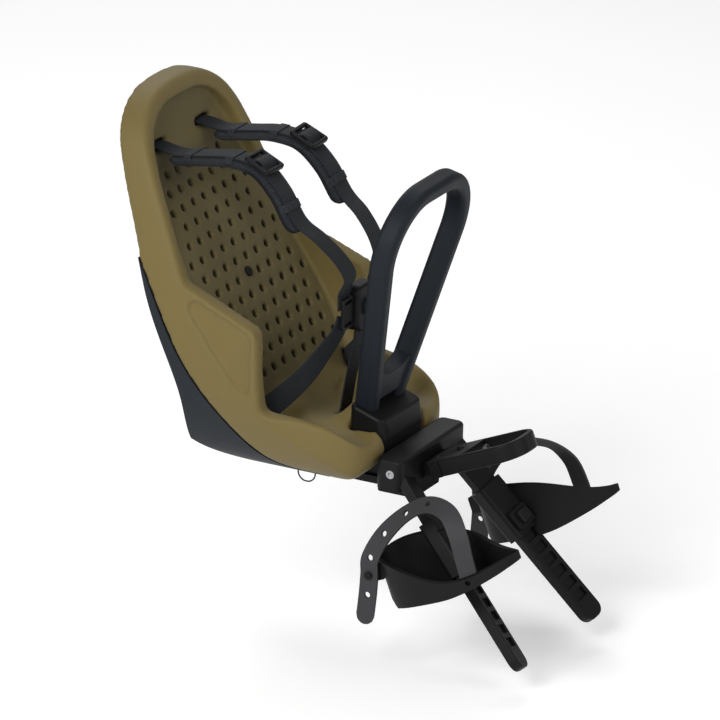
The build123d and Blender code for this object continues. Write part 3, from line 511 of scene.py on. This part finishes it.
@dataclass
class Workshop:
    """Modelling by hand: primitives, selections and modifiers on one object at a time."""

    nodes: dict[str, bpy.types.Object]
    finishes: dict[Slot, bpy.types.Material]

    @staticmethod
    def hold(piece: bpy.types.Object) -> None:
        """Select only this piece and make it active."""
        bpy.ops.object.select_all(action="DESELECT")
        piece.select_set(True)
        bpy.context.view_layer.objects.active = piece

    def copy_node(self, node: str, name: str) -> bpy.types.Object:
        """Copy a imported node's mesh into a new piece, with its loose triangles merged.

        Args:
            node: node that is copied.
            name: name of the new piece.

        Returns:
            The piece.
        """
        piece = bpy.data.objects.new(name, self.nodes[node].data.copy())
        bpy.context.scene.collection.objects.link(piece)
        self.hold(piece)
        if piece.data.has_custom_normals:
            bpy.ops.mesh.customdata_custom_splitnormals_clear()
        self.close(piece, MERGE)
        return piece

    @staticmethod
    def grid(
        name: str, columns: int, rows: int, place: Surface
    ) -> tuple[bpy.types.Object, Shares]:
        """Lay a grid over a surface.

        Args:
            name: name of the piece.
            columns: faces across.
            rows: faces along.
            place: point of the surface at two shares between nought and one.

        Returns:
            The piece, and the two shares of each of its points.
        """
        bpy.ops.object.select_all(action="DESELECT")
        bpy.ops.mesh.primitive_grid_add(x_subdivisions=columns, y_subdivisions=rows, size=1.0)
        piece = bpy.context.object
        piece.name = name
        piece.data.name = name
        shares = [(v.co.x + 0.5, v.co.y + 0.5) for v in piece.data.vertices]
        for vertex, (across, along) in zip(piece.data.vertices, shares):
            vertex.co = place(across, along)
        return piece, shares

    @staticmethod
    def write_uv(piece: bpy.types.Object, shares: Shares, size: tuple[float, float]) -> None:
        """Write the map "strap", in metres.

        Args:
            piece: piece that the map is for.
            shares: the two shares of each of its points.
            size: width and length that the shares are of.
        """
        layer = piece.data.uv_layers.new(name="strap")
        for loop in piece.data.loops:
            across, along = shares[loop.vertex_index]
            layer.data[loop.index].uv = (across * size[0], along * size[1])

    @staticmethod
    def write_mark(piece: bpy.types.Object, name: str, values: Sequence[float]) -> None:
        """Write an attribute with one value for each point.

        Args:
            piece: piece that is marked.
            name: name of the attribute.
            values: the values.
        """
        made = piece.data.attributes.new(name, "FLOAT", "POINT")
        made.data.foreach_set("value", values)

    def modify(self, piece: bpy.types.Object, kind: str, **settings: object) -> None:
        """Add a modifier and apply it.

        Args:
            piece: piece that is shaped.
            kind: type of the modifier.
            settings: its properties.
        """
        self.hold(piece)
        made = piece.modifiers.new(kind.lower(), kind)
        for key, value in settings.items():
            setattr(made, key, value)
        bpy.ops.object.modifier_apply(modifier=made.name)

    def close(self, piece: bpy.types.Object, threshold: float) -> None:
        """Merge doubles and turn the faces outwards.

        Args:
            piece: piece that is closed.
            threshold: distance under which points merge.
        """
        self.hold(piece)
        bpy.ops.object.mode_set(mode="EDIT")
        bpy.ops.mesh.select_all(action="SELECT")
        bpy.ops.mesh.remove_doubles(threshold=threshold)
        bpy.ops.mesh.normals_make_consistent(inside=False)
        bpy.ops.object.mode_set(mode="OBJECT")

    def join(self, piece: bpy.types.Object, other: bpy.types.Object) -> None:
        """Take another piece into this one."""
        self.hold(piece)
        other.select_set(True)
        bpy.ops.object.join()

    def punch(
        self, piece: bpy.types.Object, centre: Vector, axis: Vector, shape: tuple[int, float, float]
    ) -> None:
        """Cut one round or many-sided hole.

        Args:
            piece: piece that is cut.
            centre: middle of the tool.
            axis: direction of the hole.
            shape: number of sides, radius and length of the tool.
        """
        sides, radius, length = shape
        bpy.ops.object.select_all(action="DESELECT")
        bpy.ops.mesh.primitive_cylinder_add(vertices=sides, radius=radius, depth=length)
        tool = bpy.context.object
        turn = axis.to_track_quat("Z", "Y").to_matrix().to_4x4()
        tool.matrix_world = Matrix.Translation(centre) @ turn
        bpy.context.view_layer.update()
        self.modify(piece, "BOOLEAN", operation="DIFFERENCE", object=tool, solver="EXACT")
        bpy.data.objects.remove(tool)

    def dress(
        self, piece: bpy.types.Object, body: str, slot: Slot, node: str, crease: float | None = None
    ) -> None:
        """Give a piece its finish, its body and the node that it stands for.

        Args:
            piece: finished piece.
            body: body that it rides on.
            slot: slot of its finish.
            node: node that it stands for.
            crease: angle in degrees over which edges stay sharp; None leaves none sharp.
        """
        self.hold(piece)
        if crease is None:
            bpy.ops.object.shade_smooth()
        else:
            bpy.ops.object.shade_smooth_by_angle(angle=math.radians(crease))
        piece.data.materials.clear()
        piece.data.materials.append(self.finishes[slot])
        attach(piece, body)
        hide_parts(node)
        LOG.info("%s: %d faces on %s", piece.name, len(piece.data.polygons), body)


class Route:
    """Smooth line through a strap's stations, with the direction across it."""

    STEPS = 200
    NUDGE = 0.004

    def __init__(self, points: Sequence[Vector], across: Sequence[Vector]) -> None:
        """Keep the stations, in metres, and the direction across the strap at each."""
        self.points = list(points)
        self.across = [direction.normalized() for direction in across]
        steps = [self.at(step / self.STEPS) for step in range(self.STEPS + 1)]
        self.length = sum((b - a).length for a, b in zip(steps, steps[1:]))

    @staticmethod
    def blend(values: Sequence[Vector], share: float) -> Vector:
        """Catmull-Rom value at a share of the way.

        Args:
            values: one vector for each station.
            share: between nought and one.

        Returns:
            The vector there.
        """
        spans = len(values) - 1
        index = min(int(share * spans), spans - 1)
        t = share * spans - index
        before, start = values[max(index - 1, 0)], values[index]
        end, after = values[index + 1], values[min(index + 2, spans)]
        slope = (end - before) * t
        bend = (2.0 * before - 5.0 * start + 4.0 * end - after) * t**2
        twist = (3.0 * start - before - 3.0 * end + after) * t**3
        return 0.5 * (2.0 * start + slope + bend + twist)

    def at(self, share: float) -> Vector:
        """Point at a share of the way."""
        return self.blend(self.points, ramp(share, 0.0, 1.0))

    def frame(self, share: float) -> tuple[Vector, Vector, Vector]:
        """Local directions at a share of the way.

        Args:
            share: between nought and one.

        Returns:
            Directions across, out of the face and along.
        """
        along = (self.at(share + self.NUDGE) - self.at(share - self.NUDGE)).normalized()
        wide = self.blend(self.across, ramp(share, 0.0, 1.0))
        wide = (wide - along * wide.dot(along)).normalized()
        return wide, along.cross(wide).normalized(), along


@dataclass
class Pad:
    """Moulded foam bucket."""

    shop: Workshop
    voxel: float = 2.12 * MM
    soft_passes: int = 48
    pass_weight: float = 0.5
    hole_softness: float = 0.047
    panel_softness: float = 0.067
    parting_softness: float = 0.4
    parting_reach: float = 5.0 * MM
    parting_core: float = 0.25
    hole_depth: float = 10.5
    hole_margin: float = 3.0
    hole_levels: tuple[float, float] = (66.0, 292.0)
    # Depths in millimetres over which the perforations' painted shade comes in.
    hole_shade_fade: tuple[float, float] = (1.0, 4.0)
    # How the painted shade inside the bucket fades out at the sides, at the front and towards the
    # bottom, in millimetres.
    shade_side_fade: tuple[float, float] = (-2.0, 6.0)
    shade_front_fade: tuple[float, float] = (16.0, 6.0)
    shade_low_fade: tuple[float, float] = (36.0, 70.0)
    panel_margin: float = 5.0
    panel_side: float = 105.0
    back: Profile = (
        (34.0, 152.0), (53.0, 178.0), (96.0, 206.0), (163.0, 247.0), (234.0, 289.0), (300.0, 327.0),
        (346.0, 338.0),
    )
    bucket: Profile = (
        (25.0, 60.0), (40.0, 92.0), (66.0, 107.0), (96.0, 112.0), (130.0, 112.0), (168.0, 108.0),
        (222.0, 101.0), (262.0, 94.0), (298.0, 85.0), (325.0, 68.0), (340.0, 39.0), (343.0, 0.0),
    )
    wing_panel: Profile = ((171.0, 64.0), (268.0, 183.0), (173.0, 146.0))

    def build(self) -> None:
        """Soften the pad's form, mark the painted shade inside the bucket and down the
        perforations, and dress it.
        """
        piece = self.shop.copy_node("seat_pad", "pad_body")
        self.shop.modify(piece, "REMESH", mode="VOXEL", voxel_size=self.voxel, adaptivity=0.0)
        shell = self.shop.nodes["seat_shell"].data
        tree = BVHTree.FromPolygons(
            [vertex.co for vertex in shell.vertices], [face.vertices for face in shell.polygons]
        )
        group = piece.vertex_groups.new(name="softness")
        for vertex in piece.data.vertices:
            group.add([vertex.index], self.softness(vertex, tree), "REPLACE")
        # Painted shade down the perforations, by depth.
        painted_hole_shade = [self.hole(vertex) for vertex in piece.data.vertices]
        self.shop.write_mark(piece, "hole", painted_hole_shade)
        settings = {"factor": self.pass_weight, "iterations": self.soft_passes}
        self.shop.modify(piece, "SMOOTH", vertex_group=group.name, **settings)
        # Painted shade: share of the darker tone inside the bucket, by place.
        painted_shade_shares = [self.inside(vertex) for vertex in piece.data.vertices]
        self.shop.write_mark(piece, "inside", painted_shade_shares)
        self.shop.dress(piece, "seat", Slot.PAD, "seat_pad")

    def bearings(self, vertex: bpy.types.MeshVertex) -> tuple[float, float]:
        """Where a point lies in the bucket.

        Args:
            vertex: point of the pad.

        Returns:
            Millimetres in front of the back, and inwards from the bucket's side.
        """
        x, y, z = vertex.co / MM
        return along_profile(self.back, z) - y, along_profile(self.bucket, z) - abs(x)

    def in_perforations(self, vertex: bpy.types.MeshVertex) -> bool:
        """Whether a point is on the perforated back or in one of its holes."""
        ahead, inwards = self.bearings(vertex)
        low, high = self.hole_levels
        level = low < vertex.co.z / MM < high
        return level and inwards > self.hole_margin and -self.hole_depth < ahead < self.hole_margin

    def on_wing_panel(self, vertex: bpy.types.MeshVertex) -> bool:
        """Whether a point is on the sunk panel of a wing, or just past its edge."""
        x, y, z = vertex.co / MM
        corners = self.wing_panel
        for (y1, z1), (y2, z2) in zip(corners, (*corners[1:], corners[0])):
            side = (y2 - y1) * (z - z1) - (z2 - z1) * (y - y1)
            if side < -self.panel_margin * math.hypot(y2 - y1, z2 - z1):
                return False
        return abs(x) > self.panel_side

    def softness(self, vertex: bpy.types.MeshVertex, shell: BVHTree) -> float:
        """Share of each smoothing pass.

        Args:
            vertex: point of the pad.
            shell: the shell's surface, beside which the parting stays crisp.

        Returns:
            The share: little at the perforations, on the wings' panels and beside the shell.
        """
        if self.in_perforations(vertex):
            return self.hole_softness
        if self.on_wing_panel(vertex):
            return self.panel_softness
        distance = shell.find_nearest(vertex.co)[3]
        free = ramp(distance, self.parting_core * self.parting_reach, self.parting_reach)
        return self.parting_softness + (1.0 - self.parting_softness) * free

    def hole(self, vertex: bpy.types.MeshVertex) -> float:
        """How far down a perforation a point is, between nought and one: the share of painted shade
        on its walls.
        """
        depth = -self.bearings(vertex)[0]
        return ramp(depth, *self.hole_shade_fade) if self.in_perforations(vertex) else 0.0

    def inside(self, vertex: bpy.types.MeshVertex) -> float:
        """Share of the painted shade inside the bucket: one on the back, nought on the rim and
        outside.
        """
        ahead, inwards = self.bearings(vertex)
        level = ramp(vertex.co.z / MM, *self.shade_low_fade)
        return ramp(inwards, *self.shade_side_fade) * ramp(ahead, *self.shade_front_fade) * level


@dataclass
class Harness:
    """Shoulder, hip and crotch straps with the padded sleeves."""

    shop: Workshop
    width: float = 25.0 * MM
    thickness: float = 1.8 * MM
    edge: float = 0.45 * MM
    band_faces: tuple[int, int] = (6, 90)
    band_crease: float = 50.0
    sleeve_width: float = 45.0 * MM
    sleeve_thickness: float = 10.0 * MM
    sleeve_flange: float = 1.6 * MM
    sleeve_seam: float = 0.80
    sleeve_lip: float = 0.94
    sleeve_end: float = 0.07
    end_drop: float = 0.6
    end_width: float = 0.35
    sleeve_faces: tuple[int, int] = (56, 80)
    sleeve_crease: float = 60.0
    binding_start: float = 0.82
    sleeve_drop: float = 6.0 * MM
    sleeve_stations: tuple[float, float] = (1.75, 7.25)
    keeper_places: Sequence[float] = (0.13, 0.42, 0.86)
    keeper_length: float = 9.0 * MM
    keeper_rise: float = 1.6 * MM
    keeper_drop: float = 6.2 * MM
    keeper_thickness: float = 1.0 * MM
    keeper_edge: float = 0.3 * MM
    keeper_faces: tuple[int, int] = (24, 4)
    slide_edge: float = 1.1 * MM
    slide_crease: float = 40.0
    slide_station: int = 5
    fold: Profile = (
        (-11.0, 1.0), (-8.0, 2.8), (-4.0, 6.7), (0.0, 7.7), (4.0, 6.7), (8.0, 2.8), (11.0, 1.0),
    )
    tongue_y: float = 116.8
    straight_across: Point = (1.0, 0.0, 0.0)

    def shoulder_points(self) -> list[Point]:
        """Stations of the left shoulder strap."""
        return [
            (47, 343.4, 301), (47, 326, 301), (47, 302, 298), (47, 270, 303), (47.5, 240, 307),
            (48, 206, 302), (49.5, 180, 280), (50, 160, 250), (46, 139, 234), (39, 119, 213),
            (33, 110, 193), (32.5, self.tongue_y - 0.5, 177), (32.5, self.tongue_y, 169),
            (32.5, self.tongue_y, 157.5),
        ]

    @staticmethod
    def crotch_points() -> list[Point]:
        """Stations of the crotch strap."""
        return [(0, 131, 22), (0, 129, 36), (0, 123, 74), (0, 116, 108), (0, 114, 126.7)]

    def hip_points(self) -> list[tuple[Point, Point]]:
        """Stations of the left hip strap, each with the direction across it."""
        return [
            ((98, 181, 46), (0.2, 0.3, 0.93)),
            ((89, 171, 56), (0.2, 0.3, 0.93)),
            ((76, 156, 72), (0.35, 0.3, 0.88)),
            ((63, 142, 90), (0.55, 0.25, 0.8)),
            ((50, 129, 113), (0.75, 0.15, 0.64)),
            ((39, self.tongue_y + 2, 134), (0.88, 0.05, 0.45)),
            ((33, self.tongue_y + 0.8, 148), (0.92, 0, 0.39)),
        ]

    def build(self) -> None:
        """Build the straps and sleeves of both sides."""
        shoulder = [(point, self.straight_across) for point in self.shoulder_points()]
        crotch = [(point, self.straight_across) for point in self.crotch_points()]
        for side in Side:
            route = self.route(shoulder, side)
            runs = [route, self.fold_route(route)]
            self.strap(f"shoulder_webbing_{side.word}", runs, f"shoulder_strap_{side.word}")
            self.sleeve(route, side)
            route = self.route(self.hip_points(), side)
            self.strap(f"hip_webbing_{side.word}", [route], f"hip_strap_{side.word}")
            self.slide(side)
        self.strap("crotch_webbing", [self.route(crotch, Side.LEFT)], "crotch_strap")

    @staticmethod
    def route(stations: Sequence[tuple[Point, Point]], side: Side) -> Route:
        """Route of one side.

        Args:
            stations: points of the left side in millimetres, each with the direction across.
            side: side that is built.

        Returns:
            The route.
        """
        sign = side.value
        return Route(
            [Vector((sign * x, y, z)) * MM for (x, y, z), _ in stations],
            [Vector((x, sign * y, sign * z)) for _, (x, y, z) in stations],
        )

    def fold_route(self, route: Route) -> Route:
        """Route of the webbing's fold over the middle bar of the slide.

        Args:
            route: route of the strap under the slide.

        Returns:
            The fold's route.
        """
        share = self.slide_station / (len(route.points) - 1)
        wide, out, along = route.frame(share)
        points = [route.at(share) + (along * run + out * rise) * MM for run, rise in self.fold]
        return Route(points, [wide] * len(points))

    def strap(self, name: str, runs: Sequence[Route], node: str) -> None:
        """Build one webbing strap.

        Args:
            name: name of the piece.
            runs: its route, and those of its folds.
            node: node that it stands for.
        """
        pieces = [self.band(name, run) for run in runs]
        for piece in pieces[1:]:
            self.shop.join(pieces[0], piece)
        self.shop.dress(pieces[0], "seat", Slot.WEBBING, node, self.band_crease)

    def band(self, name: str, route: Route) -> bpy.types.Object:
        """Lay one run of webbing.

        Args:
            name: name of the piece.
            route: its route.

        Returns:
            The run.
        """

        def place(across: float, along: float) -> Vector:
            """Point of the strap's middle layer."""
            return route.at(along) + route.frame(along)[0] * (across - 0.5) * self.width

        piece, shares = self.shop.grid(name, *self.band_faces, place)
        self.shop.write_uv(piece, shares, (self.width, route.length))
        self.shop.modify(piece, "SOLIDIFY", thickness=self.thickness, offset=0.0)
        self.shop.modify(piece, "BEVEL", width=self.edge, segments=2, limit_method="ANGLE")
        return piece

    def crown(self, across: float) -> float:
        """Half thickness of the sleeve: a full pillow between two flat sewn edges.

        Args:
            across: place between minus one and one.

        Returns:
            Half the thickness there, in metres.
        """
        x = abs(across)
        flange = self.sleeve_flange / 2.0
        if x < self.sleeve_seam:
            pillow = (1.0 - (x / self.sleeve_seam) ** 4) ** 0.5
            return flange + (self.sleeve_thickness / 2.0 - flange) * pillow
        return flange * math.sqrt(1.0 - ramp(x, self.sleeve_lip, 1.0) ** 2)

    def sleeve(self, route: Route, side: Side) -> None:
        """Build one padded sleeve under its strap.

        Args:
            route: route of the strap above it.
            side: side that is built.
        """
        spans = len(route.points) - 1
        first, last = (station / spans for station in self.sleeve_stations)

        def across_of(turn: float) -> float:
            """Place across the sleeve, between minus one and one, at a share of its girth."""
            return 4.0 * turn - 1.0 if turn < 0.5 else 3.0 - 4.0 * turn

        def place(turn: float, along: float) -> Vector:
            """Point round the sleeve's section, closed and rounded at both ends."""
            share = first + (last - first) * along
            inset = ramp(min(along, 1.0 - along), 0.0, self.sleeve_end)
            closing = math.sqrt(1.0 - (1.0 - inset) ** 2)
            wide, out, _ = route.frame(share)
            across = across_of(turn)
            lift = self.crown(across) * closing * (1.0 if turn < 0.5 else -1.0)
            drop = self.end_drop + (1.0 - self.end_drop) * closing
            middle = route.at(share) - out * self.sleeve_drop * drop
            reach = (self.end_width + (1.0 - self.end_width) * closing) * self.sleeve_width / 2.0
            return middle + wide * across * reach + out * lift

        name, node = f"shoulder_sleeve_{side.word}", f"shoulder_pad_{side.word}"
        piece, shares = self.shop.grid(name, *self.sleeve_faces, place)
        bound = [float(abs(across_of(turn)) > self.binding_start) for turn, _ in shares]
        self.shop.write_mark(piece, "binding", bound)
        self.shop.close(piece, MERGE)
        for share in self.keeper_places:
            self.shop.join(piece, self.keeper(route, first + (last - first) * share))
        self.shop.dress(piece, "seat", Slot.SLEEVE, node, self.sleeve_crease)

    def keeper(self, route: Route, share: float) -> bpy.types.Object:
        """Build one band that holds the strap on its sleeve.

        Args:
            route: route of the strap.
            share: where along it the band is.

        Returns:
            The band.
        """
        wide, out, along = route.frame(share)
        reach = self.sleeve_seam * self.sleeve_width / 2.0

        def place(across: float, run: float) -> Vector:
            """Point of the band: flat over the strap, down to the sleeve's seams on both sides."""
            x = (2.0 * across - 1.0) * reach
            fall = ramp(abs(x), self.width / 2.0, reach)
            rise = self.keeper_rise - self.keeper_drop * fall * fall * (3.0 - 2.0 * fall)
            shift = along * (run - 0.5) * self.keeper_length
            return route.at(share) + wide * x + out * rise + shift

        piece, _ = self.shop.grid("keeper", *self.keeper_faces, place)
        self.shop.modify(piece, "SOLIDIFY", thickness=self.keeper_thickness, offset=0.0)
        self.shop.modify(piece, "BEVEL", width=self.keeper_edge, segments=2, limit_method="ANGLE")
        return piece

    def slide(self, side: Side) -> None:
        """Round the edges of one ladder-lock slide.

        Args:
            side: side that is built.
        """
        node = f"strap_adjuster_{side.word}"
        piece = self.shop.copy_node(node, f"slide_{side.word}")
        self.shop.modify(piece, "BEVEL", width=self.slide_edge, segments=3, limit_method="ANGLE")
        self.shop.dress(piece, "seat", Slot.BLACK, node, self.slide_crease)


@dataclass
class FootStraps:
    """Rubber straps over the footrests, with their row of holes."""

    shop: Workshop
    width: float = 20.0 * MM
    thickness: float = 3.0 * MM
    edge: float = 0.8 * MM
    hole: float = 3.2 * MM
    hole_sides: int = 24
    faces: tuple[int, int] = (12, 120)
    crease: float = 40.0
    pitch: float = 22.0
    sole: tuple[float, float] = (-40.0, -103.0)
    hole_stations: Sequence[int] = (4, 5, 6, 7, 8, 9)

    @staticmethod
    def stations() -> list[tuple[Point, Point]]:
        """Stations of the left strap on the sole: along, X and height, and the direction across."""
        return [
            ((57, 130.6, 13), (-1, 0.15, 0)),
            ((58, 130.4, 36), (-1, 0.12, 0)),
            ((57, 126, 62), (-0.9, 0.3, -0.2)),
            ((47, 115, 84), (-0.55, 0.7, -0.45)),
            ((22, 106, 95), (0, 0.8, -0.6)),
            ((-6, 107, 91), (0.45, 0.65, -0.6)),
            ((-33, 116, 77), (0.7, 0.3, -0.6)),
            ((-54, 123, 57), (0.85, 0.05, -0.5)),
            ((-61, 124.5, 40), (0.87, 0, -0.48)),
            ((-70, 125.5, 20), (0.88, 0, -0.47)),
            ((-80, 126.5, 0), (0.88, 0, -0.47)),
        ]

    def spot(self, along: float, x: float, up: float) -> Vector:
        """Point in the frame from a place on the left sole.

        Args:
            along: distance towards the toe.
            x: place across the seat.
            up: height over the sole.

        Returns:
            The point, in metres.
        """
        tilt = math.radians(self.pitch)
        y = self.sole[0] - along * math.cos(tilt) + up * math.sin(tilt)
        z = self.sole[1] + along * math.sin(tilt) + up * math.cos(tilt)
        return Vector((x, y, z)) * MM

    def build(self) -> None:
        """Build the strap of each side."""
        origin = self.spot(0.0, 0.0, 0.0)
        for side in Side:
            flip = Matrix.Diagonal((side.value, 1.0, 1.0))
            points = [flip @ self.spot(*place) for place, _ in self.stations()]
            wides = [flip @ (self.spot(*across) - origin) for _, across in self.stations()]
            self.strap(Route(points, wides), side)

    def strap(self, route: Route, side: Side) -> None:
        """Build one rubber strap.

        Args:
            route: its route.
            side: side that is built.
        """
        half = self.width / 2.0
        tail = half / route.length

        def place(across: float, along: float) -> Vector:
            """Point of the strap's middle layer, with a round free end."""
            x = 2.0 * across - 1.0
            share = along * (1.0 + tail * math.sqrt(max(1.0 - x * x, 0.0)))
            over = max(share - 1.0, 0.0) * route.length
            wide, _, onward = route.frame(min(share, 1.0))
            return route.at(share) + onward * over + wide * x * half

        piece, _ = self.shop.grid(f"foot_rubber_{side.word}", *self.faces, place)
        self.shop.modify(piece, "SOLIDIFY", thickness=self.thickness, offset=0.0)
        self.shop.close(piece, FINE_MERGE)
        self.shop.modify(piece, "BEVEL", width=self.edge, segments=3, limit_method="ANGLE")
        tool = (self.hole_sides, self.hole, 5.0 * self.thickness)
        for station in self.hole_stations:
            share = station / (len(route.points) - 1)
            self.shop.punch(piece, route.at(share), route.frame(share)[1], tool)
        body, node = f"footrest_{side.word}", f"foot_strap_{side.word}"
        self.shop.dress(piece, body, Slot.RUBBER, node, self.crease)


@dataclass
class Screws:
    """Screws of the carrier and of the footrest bars, with a hexagon socket in each head."""

    shop: Workshop
    socket_radius: float = 2.4 * MM
    socket_depth: float = 1.8 * MM
    crease: float = 35.0
    bar_heads: Sequence[Point] = ((72.0, 38.04, 2.37), (-72.0, 38.04, 2.37))
    carrier_heads: Sequence[Point] = (
        (36.0, 112.0, -21.0), (36.0, 156.0, -21.0), (-36.0, 112.0, -21.0), (-36.0, 156.0, -21.0),
    )

    def build(self) -> None:
        """Cut the sockets of both kinds of screw."""
        self.cut("bar_screws", self.bar_heads, Vector((1.0, 0.0, 0.0)))
        self.cut("carrier_screws", self.carrier_heads, Vector((0.0, 0.0, 1.0)))

    def cut(self, node: str, heads: Sequence[Point], axis: Vector) -> None:
        """Cut a socket into each head of one node.

        Args:
            node: node that holds the screws.
            heads: middles of their faces, in millimetres.
            axis: direction of the screws.
        """
        piece = self.shop.copy_node(node, f"{node}_cut")
        hexagon = (6, self.socket_radius, 2.0 * self.socket_depth)
        for head in heads:
            self.shop.punch(piece, Vector(head) * MM, axis, hexagon)
        self.shop.dress(piece, "seat", Slot.STEEL, node, self.crease)


@dataclass(frozen=True)
class Lamp:
    """One soft square lamp: its place from the object's middle, its side and its watts."""

    name: str
    offset: Point
    size: float
    power: float


@dataclass
class Studio:
    """Pale floor clear of the lowered footrests, soft lamps, and the camera."""

    azimuth: float = -62.35
    elevation: float = 20.45
    distance: float = 10.76
    roll: float = 1.33
    lens: float = 520.0
    sensor: float = 36.0
    clip: float = 100.0
    floor_gap: float = 22.0 * MM
    floor_size: float = 60.0
    floor_tones: tuple[float, float] = (0.95, 0.93)
    floor_lift: float = 0.20
    floor_patch: float = 3.0
    floor_roughness: float = 0.85
    world_strength: float = 0.34
    lamps: Sequence[Lamp] = (
        Lamp("key_lamp", (-3.0, 0.2, 1.9), 1.8, 96.0),
        Lamp("fill_lamp", (-0.3, -2.8, 1.4), 2.0, 26.0),
        Lamp("rim_lamp", (1.7, 1.1, 2.0), 1.2, 22.0),
    )

    def direction(self) -> Vector:
        """Unit vector from the object to the camera."""
        a, e = math.radians(self.azimuth), math.radians(self.elevation)
        return Vector((math.sin(a) * math.cos(e), -math.cos(a) * math.cos(e), math.sin(e)))

    def build(self, low: Vector, high: Vector) -> None:
        """Build the stage.

        Args:
            low: lowest corner of the object.
            high: highest corner of the object.
        """
        centre = (low + high) / 2.0
        self.floor(low.z - self.floor_gap)
        self.world()
        for lamp in self.lamps:
            self.hang(lamp, centre)
        self.camera(centre)
        bpy.context.scene.view_settings.view_transform = "Standard"

    def floor(self, height: float) -> None:
        """Lay the pale floor at a height."""
        bpy.ops.object.select_all(action="DESELECT")
        bpy.ops.mesh.primitive_plane_add(size=self.floor_size, location=(0.0, 0.0, height))
        plane = bpy.context.object
        plane.name = "studio_floor"
        tree = ShaderTree("pale_floor")
        patch = tree.noise(tree.place(), self.floor_patch)
        pale, dim = ((tone,) * 3 for tone in self.floor_tones)
        sockets = {
            "Base Color": tree.mix(patch, pale, dim),
            "Roughness": self.floor_roughness,
            "Emission Color": tree.mix(tree.seen(), (0.0,) * 3, (self.floor_lift,) * 3),
            "Emission Strength": 1.0,
        }
        plane.data.materials.append(tree.finish(sockets))
        plane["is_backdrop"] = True

    def world(self) -> None:
        """Even pale light all round."""
        world = bpy.data.worlds.new("studio_world")
        world.use_nodes = True
        background = world.node_tree.nodes["Background"]
        background.inputs["Color"].default_value = (1.0, 1.0, 1.0, 1.0)
        background.inputs["Strength"].default_value = self.world_strength
        bpy.context.scene.world = world

    @staticmethod
    def hang(lamp: Lamp, centre: Vector) -> None:
        """Hang one lamp.

        Args:
            lamp: the lamp.
            centre: point that it is placed from and faces.
        """
        data = bpy.data.lights.new(lamp.name, "AREA")
        data.size = lamp.size
        data.energy = lamp.power
        piece = bpy.data.objects.new(lamp.name, data)
        piece.location = centre + Vector(lamp.offset)
        piece.rotation_euler = (-Vector(lamp.offset)).to_track_quat("-Z", "Y").to_euler()
        bpy.context.scene.collection.objects.link(piece)

    def camera(self, centre: Vector) -> None:
        """Aim the camera at a point."""
        data = bpy.data.cameras.new("seat_camera")
        data.lens = self.lens
        data.sensor_width = self.sensor
        data.clip_end = self.clip
        camera = bpy.data.objects.new("seat_camera", data)
        back = self.direction()
        turn = (-back).to_track_quat("-Z", "Y").to_matrix()
        turn = turn @ Matrix.Rotation(math.radians(self.roll), 3, "Z")
        camera.matrix_world = Matrix.Translation(centre + back * self.distance) @ turn.to_4x4()
        bpy.context.scene.collection.objects.link(camera)
        bpy.context.scene.camera = camera


def make_finishes() -> dict[Slot, bpy.types.Material]:
    """Build the material of every slot.

    Returns:
        Material for each slot.
    """
    recipes = {
        Slot.PAD: FoamFinish(),
        Slot.SHELL: PlasticFinish("slate_shell", (0.0125, 0.0152, 0.0188), 0.5),
        Slot.BLACK: PlasticFinish("black_moulding", (0.0046, 0.0046, 0.0049), 0.46),
        Slot.BUTTON: PlasticFinish("dark_button", (0.0075, 0.0078, 0.0086), 0.36),
        Slot.GRIP: PlasticFinish("soft_grip", (0.0082, 0.0107, 0.0145), 0.56, 1200.0, 0.0003),
        Slot.WEBBING: WebbingFinish(),
        Slot.SLEEVE: SleeveFinish(),
        Slot.RUBBER: PlasticFinish("strap_rubber", (0.033, 0.033, 0.035), 0.55, 1400.0, 0.0002),
        Slot.SHIM: PlasticFinish("lining_rubber", (0.012, 0.012, 0.012), 0.7),
        Slot.STEEL: MetalFinish("screw_steel", (0.40, 0.40, 0.41), 0.3),
        Slot.LOCK: MetalFinish("plated_lock", (0.60, 0.60, 0.62), 0.16),
        Slot.WIRE: PlasticFinish("coated_wire", (0.009, 0.009, 0.010), 0.35),
    }
    return {slot: recipe.build() for slot, recipe in recipes.items()}


def dress_solids(shop: Workshop, subparts: Sequence[dict]) -> None:
    """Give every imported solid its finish; those that a piece replaces are hidden later.

    Args:
        shop: the workshop.
        subparts: rows of the record, each with a node and its slot.
    """
    for row in subparts:
        data = shop.nodes[row["node"]].data
        data.materials.clear()
        data.materials.append(shop.finishes[Slot(row["material_slot"])])


def main() -> None:
    """Load the frame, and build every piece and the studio."""
    logging.basicConfig(level=logging.INFO, format="%(name)s %(message)s")
    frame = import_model()
    shop = Workshop(frame["nodes"], make_finishes())
    dress_solids(shop, frame["record"]["subparts"])
    for assembly in (Pad(shop), Harness(shop), FootStraps(shop), Screws(shop)):
        assembly.build()
    low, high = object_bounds()
    Studio().build(low, high)


if __name__ == "__main__":
    main()
